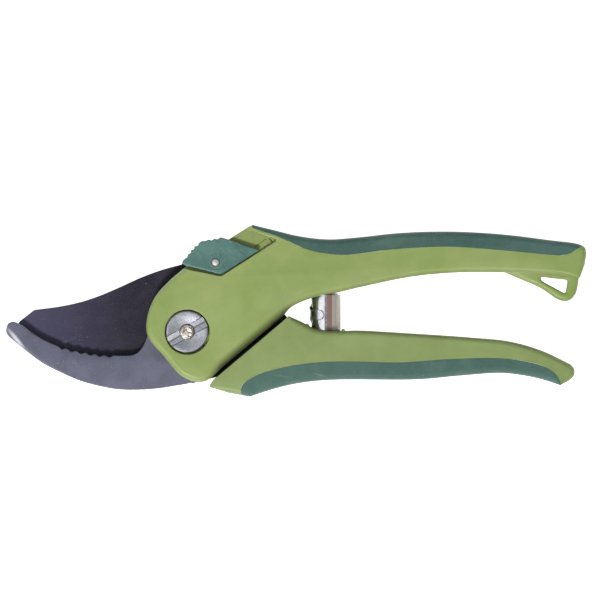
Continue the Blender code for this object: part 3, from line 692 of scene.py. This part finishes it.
# The lock's recess, open at the neck: a level floor, a rounded rim, and two moulded grooves
# that leave a springy tongue between them. The pin runs in a slot through the floor.
RECESS_FLOOR = 15.1
LOCK_SEAT = 10.65
LOCK_TRAVEL = 6.6
LOCK_CLEARANCE = 0.4
PIN_AT = (22.0, 15.5)
recess_corners = [on_slide(along, LOCK_SEAT - LOCK_CLEARANCE) for along in (21.0, 44.7)]
neck_end = on_slide(37.4, NECK_HEIGHT)
recess_line = softened(
    outline(recess_corners, [
        on_slide(44.7, LOCK_SEAT + LOCK_CLEARANCE), neck_end,
        on_slide(37.4, 32.0), on_slide(3.6, 32.0), on_slide(3.6, 21.2), on_slide(11.2, 19.8),
    ]), 0.8, [*recess_corners, neck_end],
)
joined(upper, lipped("recess", evened(recess_line, 3.0), RECESS_FLOOR, HANDLE_TOP, 0.32))


def capsule(start, end, radius, sides=12):
    """The outline of a round-ended slot between two points."""
    way = math.degrees(math.atan2(end[1] - start[1], end[0] - start[0]))
    return outline(
        arc(end, radius, way - 90, way + 90, sides), arc(start, radius, way + 90, way + 270, sides)
    )


pin_slot = capsule(on_slide(*PIN_AT), on_slide(PIN_AT[0] + LOCK_TRAVEL, PIN_AT[1]), 1.65)
joined(upper, plain("pin_slot", pin_slot, REAR_CHEEK, HANDLE_TOP))
TONGUE_GROOVES = [((24.6, 30.5), (28.2, 33.5)), ((29.8, 33.3), (30.7, 32.2))]
for start_at, end_at in TONGUE_GROOVES:
    groove = plain("tongue_groove", capsule(start_at, end_at, 0.28, 6), RECESS_FLOOR - 0.7, HANDLE_TOP)
    joined(upper, groove)

# The spring's seat: a wide bore for its outer turns and a deeper socket for its inner ones.
SPRING_X = 50.0
SEAT_RADIUS = 6.15


def cross_bar(name, radius, y_from, y_to, sides=48):
    """A round bar along Y at the spring's place."""
    made = plain(name, ring((0, 0), radius, sides), y_from, y_to)
    turn = Matrix.Rotation(-math.pi / 2, 4, "X")
    made.data.transform(Matrix.Translation((SPRING_X * MM, 0, HANDLE_MIDDLE * MM)) @ turn)
    return made


joined(upper, cross_bar("spring_seat", SEAT_RADIUS + 0.4, 2.2, 14.2))
joined(upper, cross_bar("spring_socket", 4.1, 4.2, 16.4))

shaded(upper)
placed(upper, upper_green, "upper", "green_moulding", "upper_handle")

# ------------------------------------------------------------------ lower handle
# The second moulding of the same nylon. Its front end is a flat face that turns past the
# cheeks; the blade's tang is moulded into it, and two small nubs guard the spring's seat.
LOWER_INSIDE = curve([
    beside_end_face(31.5, END_FACE_DISTANCE), (41.0, 3.6), (46.0, 1.1), (51.0, 0.3), (57.0, 0.3),
    grip(0.0, 0.4), grip(0.22, -0.6), grip(0.49, -2.1), grip(0.66, -3.5), grip(0.80, -6.7),
    grip(0.93, -11.7),
])
LOWER_TAIL = curve([
    grip(0.93, -11.7), grip(0.946, -13.4), grip(0.946, -15.6), grip(0.928, -17.4),
    grip(0.885, -19.3),
])
LOWER_BACK = curve([
    grip(0.885, -19.3), grip(0.80, -17.1), grip(0.71, -15.6), grip(0.62, -14.9),
    grip(0.44, -15.9), grip(0.26, -17.2), (51.4, -17.4), (40.6, -18.5), (31.6, -20.5),
    (22.6, -23.4),
])
LOWER_GRIP_EDGE = curve([
    (21.0, -26.0), (19.5, -20.1), (24.4, -16.1), (31.6, -13.6), (40.6, -11.8), (49.6, -10.9),
    grip(0.0, -10.8), grip(0.18, -11.1), grip(0.40, -9.9), grip(0.62, -9.6), grip(0.73, -10.7),
    grip(0.81, -12.5), grip(0.863, -15.2), grip(0.885, -18.3), grip(0.89, -22.0),
])
LOWER_TIP = beside_end_face(-6.9, END_FACE_DISTANCE + 0.9)
lower_outline = evened(softened(outline(
    [LOWER_TIP, beside_end_face(-4.0, END_FACE_DISTANCE)], LOWER_INSIDE, LOWER_TAIL,
    LOWER_BACK, [(15.0, -22.1)],
), 0.7, [LOWER_TIP]))
CRISP = 0.45


def lower_rim(point):
    """The rounding at a point of the lower handle, small along its end face."""
    place = Vector(point)
    beside = abs(place.dot(END_FACE_NORMAL) - END_FACE_DISTANCE)
    share = min(max((beside - 0.3) / 2.2, 0.0), 1.0)
    if place.dot(END_FACE_ALONG) > 31.5:
        share = 1.0
    return CRISP + (RIM - CRISP) * share


lower_rims = [lower_rim(p) for p in lower_outline]
lower = moulded("lower_moulding", lower_outline, 0.0, HANDLE_TOP, lower_rims)
joined(lower, grip_zone(LOWER_GRIP_EDGE, -FAR, PARTING))


def nub(x, y, reach=(0.70, 0.75, 3.6)):
    """A small rounded guard beside the spring's seat."""
    bm = bmesh.new()
    bmesh.ops.create_uvsphere(bm, u_segments=24, v_segments=12, radius=1.0)
    bmesh.ops.scale(bm, vec=reach, verts=bm.verts)
    bmesh.ops.translate(bm, vec=(x, y, HANDLE_TOP - 4.4), verts=bm.verts)
    return body("nub", bm)


NUBS_AT = [(43.2, 2.15), (56.2, 0.3)]
for x, y in NUBS_AT:
    joined(lower, nub(x, y), "UNION")
joined(lower, cross_bar("spring_seat_below", SEAT_RADIUS, -0.3, 11.7))

# The tang's pocket, open only where the blade turns out of it.
BLADE_TANG = [
    beside_end_face(-2.5, END_FACE_DISTANCE), beside_end_face(-0.5, 25.0), (24.0, -14.6),
    (50.0, -8.6), (53.0, -6.0), (51.0, -4.2), (40.0, -3.0),
    beside_end_face(SHIELD_END, END_FACE_DISTANCE + SHIELD_ROOT),
    beside_end_face(SHIELD_END, END_FACE_DISTANCE - SHIELD_REACH),
]
tang_pocket = outline(BLADE_TANG, [beside_end_face(-2.5, END_FACE_DISTANCE - SHIELD_REACH)])
tang_pocket = inset(tang_pocket, -POCKET_ROOM)
joined(lower, plain("tang_pocket", tang_pocket, BLADE_BOTTOM - POCKET_ROOM, BLADE_TOP + POCKET_ROOM))

shaded(lower)
lower_green = moulding_green("lower_green", tone(147, 165, 104), tone(130, 150, 86), tone(142, 152, 108))
placed(lower, lower_green, "lower", "green_moulding", "lower_handle")

# ------------------------------------------------------------------ soft grips
# Dark blue-green thermoplastic rubber overmoulded along the back of each handle, flush with
# the nylon. The hand has left dust in its fine grain, and its rims carry a painted pale reflection.


def soft_rubber(name, deep, light, dusty):
    """Satin rubber with a fine grain, cloudy handling marks, pale dust, rubbed scuffs and a painted pale
    reflection on its rims.
    """
    made, start, wire = finish(name, Specular_IOR_Level=0.36)
    here = start.place()
    cloud = start.noise(here, 0.05, detail=2.0).ramp(0.30, 0.70)
    mottle = start.noise(here, 0.45, detail=4.0, roughness=0.65).ramp(0.28, 0.74)
    colour = (cloud * 0.55 + mottle * 0.45).mix(deep, light)
    bloom = start.noise(here, 0.10, detail=3.0, distortion=0.8).ramp(0.52, 0.80) * 0.45
    colour = bloom.mix(colour, dusty)
    dust = start.noise(here, 2.3, detail=1.0).ramp(0.70, 0.77) * 0.55
    colour = dust.mix(colour, tone(150, 160, 152))
    scuff_and_highlight = start.noise(start.place(turn=-0.3, stretch=(0.10, 1.3, 1.0)), 0.9, detail=2.0)
    scuff_and_highlight = scuff_and_highlight.ramp(0.64, 0.74) * start.noise(here, 0.04).ramp(0.50, 0.62)
    colour = (scuff_and_highlight * 0.35).mix(colour, tone(138, 152, 146))
    # Painted reflection: the rims turn pale grey as the surface tilts away from level.
    colour = (rim_share(start) * (0.25 + mottle * 0.30)).mix(colour, tone(128, 132, 124))
    grain = start.noise(here, 3.2, detail=3.0, roughness=0.6)
    bump = grain.bump(0.55, 0.035)
    bump = start.noise(here, 0.22, detail=2.0).bump(0.30, 0.08, over=bump)
    rough = mottle.ramp(0.0, 1.0, 0.54, 0.66) - scuff_and_highlight * 0.10
    wire(Base_Color=colour, Roughness=rough, Normal=bump)
    return made


upper_soft = moulded("upper_soft_grip", upper_outline, 0.0, HANDLE_TOP, upper_rims)
joined(upper_soft, grip_zone(UPPER_GRIP_EDGE, FAR), "INTERSECT")
shaded(upper_soft)
upper_rubber = soft_rubber("upper_rubber", tone(60, 94, 86), tone(78, 111, 101), tone(98, 122, 108))
placed(upper_soft, upper_rubber, "upper", "soft_grip", "upper_grip")

lower_soft = moulded("lower_soft_grip", lower_outline, 0.0, HANDLE_TOP, lower_rims)
joined(lower_soft, grip_zone(LOWER_GRIP_EDGE, -FAR), "INTERSECT")
shaded(lower_soft)
lower_rubber = soft_rubber("lower_rubber", tone(64, 99, 90), tone(82, 115, 104), tone(102, 127, 113))
placed(lower_soft, lower_rubber, "lower", "soft_grip", "lower_grip")

# ------------------------------------------------------------------ hook
# The counter-blade: a forged steel hook, ground flat and blasted, with a soft grey phosphate
# coat. Its gripping edge is serrated, and a painted highlight brightens its rims and the outside of its
# tip.
HOOK_RIM = 0.42
HOOK_TIP_RIM = 1.35


def hook_rim(point):
    """The rounding at a point of the hook, wide round the outside of its tip."""
    share = min(max((-45.0 - point[0]) / 14.0, 0.0), 1.0) if tuple(point) in HOOK_OUTER else 0.0
    return HOOK_RIM + (HOOK_TIP_RIM - HOOK_RIM) * share


hook = moulded("hook", hook_line, HOOK_BOTTOM, HOOK_TOP, [hook_rim(p) for p in hook_line], 6)
JAW_BORE = ring((0, 0), 4.08, 64)
joined(hook, plain("bore", JAW_BORE, HOOK_BOTTOM - 1.0, HOOK_TOP + 1.0))
shaded(hook)

hook_steel, start, wire = finish("hook_phosphate", metallic=0.15, Specular_IOR_Level=0.35)
here = start.place()
cloud = start.noise(here, 0.12, detail=3.0, distortion=0.5).ramp(0.30, 0.70)
speckle = start.noise(here, 3.4, detail=2.0, roughness=0.7).ramp(0.34, 0.68)
colour = (cloud * 0.45 + speckle * 0.55).mix(tone(84, 86, 103), tone(112, 114, 133))
pit = start.noise(here, 1.6, detail=1.0).ramp(0.70, 0.77) * 0.6
colour = pit.mix(colour, tone(64, 62, 74))
graze = start.noise(start.place(turn=-0.6, stretch=(0.15, 1.5, 1.0)), 1.0, detail=1.0)
graze = graze.ramp(0.68, 0.76) * start.noise(here, 0.07).ramp(0.50, 0.64)
colour = (graze * 0.16).mix(colour, tone(168, 170, 184))
dust = start.noise(here, 2.4, detail=0.0).ramp(0.76, 0.82) * start.noise(here, 0.16).ramp(0.56, 0.66)
colour = (dust * 0.5).mix(colour, tone(214, 214, 222))
x = here.part("X")
# Painted highlight: the rims are brightened towards the tip.
tip_rim_highlight = rim_share(start) * (1.0 - x.ramp(-0.062, -0.046)) * 0.5
colour = tip_rim_highlight.mix(colour, tone(206, 206, 216))
# Painted highlight: a bright patch along the outside of the tip.
scuff_and_highlight = start.place(centre=(-61.6, -2.4, 0.0), turn=-0.87, stretch=(0.16, 1.0, 0.0))
scuff_and_highlight = 1.0 - scuff_and_highlight.length().ramp(0.0002, 0.0010)
colour = (scuff_and_highlight * (0.50 + speckle * 0.45)).mix(colour, tone(226, 226, 234))
bump = speckle.bump(0.35, 0.03)
bump = (pit * -1.0).bump(0.4, 0.04, over=bump)
rough = speckle.ramp(0.0, 1.0, 0.42, 0.58) - graze * 0.12 - tip_rim_highlight * 0.15
wire(Base_Color=colour, Roughness=rough, Normal=bump)
placed(hook, hook_steel, "upper", "hook_steel", "hook_jaw")

# ------------------------------------------------------------------ cutting blade
# Hardened steel plate with a dark low-friction coat. Its front face is flat; behind, the
# cutting edge is hollow ground to bright steel, so the edge itself lies in the front face.
BLADE_GRIND = 3.6
BLADE_SPINE = curve([
    (-2.0, 24.2), (-9.8, 22.0), jaw(0.04, 19.3), jaw(0.18, 16.1), jaw(0.33, 12.9),
    jaw(0.47, 10.6), jaw(0.62, 9.0), jaw(0.80, 7.8),
])
BLADE_EDGE = curve([
    jaw(0.94, 0.9), jaw(0.86, -1.4), jaw(0.74, -5.0), jaw(0.60, -8.6), jaw(0.42, -11.2),
    jaw(0.22, -12.0), jaw(0.05, -11.6),
])
BLADE_HEEL = curve([(-15.5, -12.4), (-11.0, -14.6), (-5.0, -17.2), (2.0, -18.6)])


def blade_outline(grind, spine_rim=0.0):
    """The blade's outline, with its edge drawn back by a grind and its spine by a rim."""
    edge = moved_left(BLADE_EDGE, grind)
    edge[0] = jaw(0.94 - 0.01 * grind, 0.9 + 0.3 * grind)
    heel = arc((0.0, 0.0), 25.0, 0.5, 94.5, 60)
    spine = moved_left(BLADE_SPINE, spine_rim)
    return [*spine, jaw(0.905, 3.7), *edge, *BLADE_HEEL, *BLADE_TANG, *heel[:-1]]


levels = [(i / 6, BLADE_GRIND * (1 - (i / 6) ** 1.6)) for i in range(7)]
thick = BLADE_TOP - BLADE_BOTTOM
rings = [(blade_outline(BLADE_GRIND, 0.35), BLADE_BOTTOM)]
rings += [(blade_outline(back), BLADE_BOTTOM + 0.2 + t * (thick - 0.45)) for t, back in levels]
rings += [(blade_outline(0.0, 0.10), BLADE_TOP - 0.08), (blade_outline(0.0, 0.30), BLADE_TOP)]
blade = lofted("blade", rings)
joined(blade, plain("bore", JAW_BORE, BLADE_BOTTOM - 1.0, BLADE_TOP + 1.0))
shaded(blade, 20)

blade_coat, start, wire = finish("blade_coat", Specular_IOR_Level=0.2)
here = start.place()
lengthwise = here.part("X")
height = here.part("Z")
upright = start.node("NewGeometry", output="Normal").part("Z")
# Painted shade: the coat is drawn darker towards the cheeks.
colour = lengthwise.ramp(-0.064, -0.014).mix(tone(72, 68, 94), tone(24, 21, 32))
speckle = start.noise(here, 3.8, detail=2.0, roughness=0.75).ramp(0.30, 0.70)
colour = (speckle * 0.14).mix(colour, tone(112, 112, 136))
cloud = start.noise(here, 0.09, detail=3.0, distortion=0.6).ramp(0.45, 0.75) * 0.14
colour = cloud.mix(colour, tone(92, 86, 104))
scratch = start.noise(start.place(turn=0.35, stretch=(0.12, 1.5, 1.0)), 1.3, detail=1.0)
scratch = scratch.ramp(0.68, 0.76) * start.noise(here, 0.06).ramp(0.50, 0.62)
colour = (scratch * 0.10).mix(colour, tone(140, 140, 156))
dust = start.noise(here, 2.1, detail=0.0).ramp(0.76, 0.82) * start.noise(here, 0.14).ramp(0.56, 0.66)
colour = (dust * 0.35).mix(colour, tone(150, 150, 170))
ground = upright.ramp(-0.93, -0.80) * height.ramp(0.0052, 0.0057) * upright.ramp(-0.15, -0.35)
streaks = start.noise(start.place(stretch=(14.0, 1.0, 1.0)), 0.5, detail=2.0).ramp(0.3, 0.7)
bright = streaks.mix(tone(150, 152, 160), tone(196, 198, 204))
colour = ground.mix(colour, bright)
bump = speckle.bump(0.30, 0.02)
bump = (scratch * -1.0 + streaks * ground * 0.3).bump(0.25, 0.01, over=bump)
rough = speckle.ramp(0.0, 1.0, 0.40, 0.54) - ground * 0.14
wire(Base_Color=colour, Roughness=rough, Metallic=ground * 0.9, Normal=bump)
placed(blade, blade_coat, "lower", "coated_blade", "cutting_blade")

# ------------------------------------------------------------------ pivot
# A zinc-plated bolt comes from behind, its hexagon head held in the moulding. In front, a
# wave washer takes up play under a slotted disc nut, and the bolt's end is peened over.
NUT_BOTTOM = 14.6
NUT_TOP = 17.0
NUT_RADIUS = 7.55
GROOVE_ANGLE = math.radians(29)


def turned(name, profile, sides=96):
    """A body of revolution about the pivot's axis, from radii and heights."""
    return lofted(name, [(ring((0, 0), r, sides), z) for r, z in profile])


def zinc(name, bright, deep, warm, marks, metallic=1.0):
    """Bright zinc plate: blotchy, with faint turning marks, pits and a warm passivation."""
    made, start, wire = finish(name, metallic=metallic)
    here = start.place()
    blotch = start.noise(here, 0.42, detail=4.0, roughness=0.65, distortion=0.5).ramp(0.30, 0.70)
    fleck = start.noise(here, 2.2, detail=3.0, roughness=0.7).ramp(0.30, 0.70)
    colour = (blotch * 0.6 + fleck * 0.4).mix(deep, bright)
    colour = (start.noise(here, 0.25, detail=2.0).ramp(0.50, 0.75) * 0.35).mix(colour, warm)
    pit = start.noise(here, 2.6, detail=1.0).ramp(0.70, 0.78) * marks
    colour = pit.mix(colour, tone(70, 68, 66))
    reach = start.place(stretch=(1.0, 1.0, 0.0)).length()
    lathe = start.noise(start.node("CombineXYZ", None, {"X": reach}), 5.0, detail=1.0)
    bump = lathe.bump(0.25, 0.02)
    bump = fleck.bump(0.30, 0.03, over=bump)
    bump = (pit * -1.0).bump(0.5, 0.05, over=bump)
    wire(Base_Color=colour, Roughness=blotch.ramp(0.0, 1.0, 0.46, 0.30) + pit * 0.2, Normal=bump)
    return made, start, wire, colour


nut = turned("slotted_nut", [
    (NUT_RADIUS - 0.35, NUT_BOTTOM), (NUT_RADIUS, NUT_BOTTOM + 0.3), (NUT_RADIUS, NUT_TOP - 0.45),
    (NUT_RADIUS - 0.12, NUT_TOP - 0.18), (NUT_RADIUS - 0.40, NUT_TOP - 0.02),
    (NUT_RADIUS - 0.8, NUT_TOP), (5.6, NUT_TOP - 0.10), (4.0, NUT_TOP - 0.28), (2.9, NUT_TOP - 0.40),
])
groove_half = [(2.6, 0.30), (2.2, -0.02), (1.85, -0.62), (0.30, -0.86), (0.0, -1.02)]
groove_profile = [(-u, v) for u, v in groove_half] + [(u, v) for u, v in groove_half[-2::-1]]
groove = plain("groove", groove_profile, -12.0, 12.0)
across = Matrix.Rotation(GROOVE_ANGLE, 4, "Z") @ Matrix(
    ((0, 0, 1, 0), (1, 0, 0, 0), (0, 1, 0, 0), (0, 0, 0, 1)))
groove.data.transform(Matrix.Translation((0, 0, NUT_TOP * MM)) @ across)
joined(nut, groove)
joined(nut, plain("thread_hole", ring((0, 0), 2.78, 64), NUT_BOTTOM - 1.0, NUT_TOP + 1.0))
shaded(nut, 24)
nut_zinc = zinc("nut_zinc", tone(224, 226, 234), tone(134, 138, 148), tone(206, 198, 182), 0.5)[0]
placed(nut, nut_zinc, "upper", "plated_steel", "pivot_nut")

HEAD_RADIUS = 5.0 / math.cos(math.pi / 6)
bolt = lofted("pivot_bolt_piece", [
    (ring((0, 0), HEAD_RADIUS * k, 6), z) for k, z in ((0.86, 0.0), (0.97, 0.35), (1.0, 0.8), (1.0, 3.2))
])
shank = turned("shank", [
    (3.9, 2.4), (4.0, 2.6), (4.0, 13.9), (3.8, 14.2), (2.60, 14.3), (2.60, 16.2), (2.68, 16.5),
    (2.58, 16.74), (2.2, 16.86), (1.4, 16.90), (0.6, 16.84),
], 64)
joined(bolt, shank, "UNION")
shaded(bolt, 28)
bolt_zinc, start, wire, colour = zinc(
    "bolt_zinc", tone(206, 200, 190), tone(140, 134, 128), tone(190, 172, 148), 0.4)
here = start.place()
reach = start.place(stretch=(1.0, 1.0, 0.0)).length()
rust = reach.ramp(0.00215, 0.00255) * (1.0 - reach.ramp(0.0030, 0.0032)) * 0.75
hammered = start.noise(here, 0.9, detail=3.0, roughness=0.6, distortion=0.8)
worn = hammered.ramp(0.36, 0.62).mix(tone(112, 104, 98), tone(232, 226, 216))
near = 1.0 - reach.ramp(0.0028, 0.0030)
colour = (near * 0.75).mix(colour, worn)
wire(Base_Color=rust.mix(colour, tone(92, 66, 48)), Normal=hammered.bump(0.9, 0.30))
placed(bolt, bolt_zinc, "upper", "plated_steel", "pivot_bolt")

washer_zinc = zinc("washer_zinc", tone(190, 190, 190), tone(128, 126, 124), tone(170, 150, 120), 0.4)[0]
washer = bpy.data.objects["wave_washer"]
washer.data.materials.clear()
washer.data.materials.append(washer_zinc)

# ------------------------------------------------------------------ lock
# A sliding catch in glossy blue-green acetal. The thumb pushes the serrated pad outside the
# neck. A pressed pin with a domed head goes down through it beside the blade's heel, and a
# raised ring frames the head.
SLIDER_BOTTOM = 15.4
SLIDER_TOP = 17.5
THUMB_EDGE = [
    on_slide(s, n) for s, n in (
        (28.4, 22.2), (27.0, 22.1), (26.4, 22.9), (25.0, 22.9), (24.4, 23.8), (23.0, 23.9),
        (22.2, 24.6), (20.6, 24.6), (19.9, 23.9), (18.7, 24.5), (18.1, 23.6),
        (16.9, 24.0), (16.3, 23.1), (15.1, 23.3), (14.5, 22.5), (13.5, 22.6), (12.2, 22.2),
    )
]
pin_place = on_slide(*PIN_AT)
slider_corners = [on_slide(21.4, LOCK_SEAT), on_slide(37.7, LOCK_SEAT)]
slider_line = outline(slider_corners, [on_slide(30.4, NECK_HEIGHT)], THUMB_EDGE,
                      [on_slide(11.6, 21.6), on_slide(12.3, 20.3)])
slider_line = softened(slider_line, 0.7, slider_corners)
slider_line = softened(slider_line, 0.4, THUMB_EDGE + [on_slide(11.6, 21.6)], 3)
slider = moulded("slider", evened(slider_line, 1.2), SLIDER_BOTTOM, SLIDER_TOP, 0.55, 6)
pad_line = outline([on_slide(29.6, NECK_HEIGHT + LOCK_CLEARANCE), on_slide(28.4, 22.0)],
                   THUMB_EDGE[1:-1],
                   [on_slide(12.6, 22.1), on_slide(13.6, NECK_HEIGHT + LOCK_CLEARANCE)])
pad = moulded("pad", evened(softened(pad_line, 0.4, THUMB_EDGE, 3), 1.2), 8.9, SLIDER_TOP - 1.0, 0.4, 4)
joined(slider, pad, "UNION")
to_pin = Matrix.Translation((pin_place[0] * MM, pin_place[1] * MM, 0))
RING_RADIUS = 2.7
raised_ring = turned("raised_ring", [(RING_RADIUS + out, SLIDER_TOP + up) for out, up in (
    (0.40, -0.3), (0.40, -0.02), (0.32, 0.06), (0.20, 0.09), (0.08, 0.06), (0.0, -0.02),
)], 64)
raised_ring.data.transform(to_pin)
joined(slider, raised_ring, "UNION")
joined(slider, plain("ring_floor", ring(pin_place, RING_RADIUS, 64), SLIDER_TOP - 0.12, SLIDER_TOP + 1.0))
joined(slider, plain("pin_hole", ring(pin_place, 1.5, 48), SLIDER_BOTTOM - 1.0, SLIDER_TOP + 1.0))
shaded(slider)

lock_plastic, start, wire = finish("lock_acetal", Specular_IOR_Level=0.5)
here = start.place()
cloud = start.noise(here, 0.14, detail=3.0).ramp(0.30, 0.70)
colour = cloud.mix(tone(72, 112, 104), tone(90, 130, 122))
mottle = start.noise(here, 1.1, detail=3.0).ramp(0.35, 0.70) * 0.30
colour = mottle.mix(colour, tone(98, 136, 128))
scratch = start.noise(start.place(turn=2.30, stretch=(0.14, 1.5, 1.0)), 1.5, detail=1.0)
worn = start.place(centre=(16.2, 29.4, SLIDER_TOP))
worn = 1.0 - worn.length().ramp(0.0025, 0.0055)
scratch = scratch.ramp(0.56, 0.66) * (worn * 0.85 + 0.06)
colour = (scratch * 0.45).mix(colour, tone(142, 174, 166))
speck = start.noise(here, 2.0, detail=1.0).ramp(0.70, 0.76) * 0.4
colour = speck.mix(colour, tone(48, 72, 66))
bump = start.noise(here, 1.8, detail=2.0).bump(0.25, 0.02)
bump = (scratch * -1.0).bump(0.30, 0.015, over=bump)
wire(Base_Color=colour, Roughness=cloud.ramp(0.0, 1.0, 0.36, 0.46) + scratch * 0.15, Normal=bump)
placed(slider, lock_plastic, "lock", "lock_plastic", "lock_slider")

pin = turned("domed_pin", [
    (1.15, BLADE_BOTTOM), (1.25, BLADE_BOTTOM + 0.15), (1.25, 17.0), (1.33, 17.15), (1.30, 17.30),
    (1.12, 17.46), (0.80, 17.56), (0.40, 17.61), (0.12, 17.62),
], 48)
pin.data.transform(to_pin)
shaded(pin, 40)
pin_zinc = zinc("pin_zinc", tone(236, 232, 228), tone(186, 178, 174), tone(222, 186, 176), 0.3, 0.45)[0]
placed(pin, pin_zinc, "lock", "plated_steel", "lock_pin")

# ------------------------------------------------------------------ spring
# A volute spring: one strip of polished spring steel rolled on the axis between the handles,
# each turn inside the last and standing higher. Its outer end narrows to a lifted tongue.
SPRING_BOTTOM = 0.0
SPRING_WIDTH = 13.0
SPRING_RISE = 1.6
STRIP = 0.5
COIL_RADIUS = 6.02
COIL_TURNS = 2.9
TONGUE_TIP = math.radians(99)
TONGUE_LOW = 4.2
TONGUE_HIGH = 7.9


def strip_station(t):
    """Angle, outer radius, lower edge and upper edge of the strip at a time from 0 to 1."""
    past = 360 * COIL_TURNS * t
    angle = TONGUE_TIP + math.radians(past)
    radius = COIL_RADIUS + 0.25 * (1 - eased(past, 0, 60)) - 0.80 * eased(past, 100, 265)
    radius -= 2.9 * max(past - 440, 0) / 600
    middle, half = (TONGUE_LOW + TONGUE_HIGH) / 2, (TONGUE_HIGH - TONGUE_LOW) / 2
    rounding = min(past / 17.6, 1.0)
    half *= math.sqrt(max(1 - (1 - rounding) ** 2, 0.03))
    low, high = middle - half, middle + half + 1.2 * eased(past, 62, 84)
    wide = eased(past, 92, 140)
    rise = SPRING_BOTTOM + SPRING_RISE * max(past - 140, 0) / (360 * COIL_TURNS - 140)
    return angle, radius, low + (rise - low) * wide, high + (rise + SPRING_WIDTH - high) * wide


def strip_section(low, high, radius, rows=14):
    """The strip's cross-section: radii and heights round a thin plate with rounded edges."""
    inner = radius - STRIP
    edge = min(0.14, (high - low) / 3)
    out = [(radius, low + edge + (high - low - 2 * edge) * i / rows) for i in range(rows + 1)]
    back = [(inner, y) for _, y in out[::-1]]
    top = [(radius - 0.12, high - 0.03), (inner + 0.12, high - 0.03)]
    bottom = [(inner + 0.12, low + 0.03), (radius - 0.12, low + 0.03)]
    return [*out, *top, *back, *bottom]


bm = bmesh.new()
stations = []
STATIONS = 240
for i in range(STATIONS + 1):
    angle, radius, low, high = strip_station(i / STATIONS)
    stations.append([
        bm.verts.new((SPRING_X + r * math.cos(angle), y, HANDLE_MIDDLE + r * math.sin(angle)))
        for r, y in strip_section(low, high, radius)
    ])
bm.faces.new(stations[0])
bm.faces.new(stations[-1])
for before, after in zip(stations, stations[1:]):
    for i in range(len(before)):
        bm.faces.new((before[i - 1], before[i], after[i], after[i - 1]))
spring = body("volute_strip", bm)
spring.data.shade_smooth()
spring.data.set_sharp_from_angle(angle=math.radians(35))

spring_steel, start, wire = finish("spring_steel", metallic=1.0)
here = start.place()
x = here.part("X")
cloud = start.noise(here, 0.30, detail=3.0, distortion=0.5).ramp(0.30, 0.70)
colour = cloud.mix(tone(206, 208, 214), tone(240, 241, 245))
# Painted reflection: a mauve-brown band across the coil, set by position, with less metal in it.
brown_reflection = x.ramp(0.0498, 0.0504)
colour = (brown_reflection * 0.95).mix(colour, tone(146, 112, 100))
# Painted reflection: a light grey band on the coil's right side.
grey_reflection = x.ramp(0.0519, 0.0524)
colour = (grey_reflection * 0.95).mix(colour, tone(202, 194, 187))
reach = start.place(centre=(SPRING_X, 0, HANDLE_MIDDLE), stretch=(1.0, 0.0, 1.0)).length()
# Painted reflection: a dark band on the inner turns at the coil's left.
dark_reflection = (1.0 - x.ramp(0.0456, 0.0468)) * (1.0 - reach.ramp(0.0054, 0.0057)) * 0.60
colour = dark_reflection.mix(colour, tone(62, 58, 62))
line = start.noise(start.place(stretch=(0.12, 3.0, 0.12)), 1.0, detail=1.0)
fleck = start.noise(here, 1.8, detail=1.0).ramp(0.70, 0.78) * 0.4
colour = fleck.mix(colour, tone(112, 100, 92))
bump = line.bump(0.12, 0.008)
rough = line.ramp(0.30, 0.70, 0.16, 0.24) + fleck * 0.2 + brown_reflection * 0.15
wire(Base_Color=colour, Roughness=rough, Metallic=1.0 - brown_reflection * 0.75, Normal=bump)
spring.data.materials.append(spring_steel)
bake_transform(spring)
axis = Vector((SPRING_X, HANDLE_MIDDLE))
radii = [(Vector((v.co.x, v.co.z)) / MM - axis).length for v in spring.data.vertices]
[eased(r, 1.6, 5.0) for r in radii]
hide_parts("volute_spring")
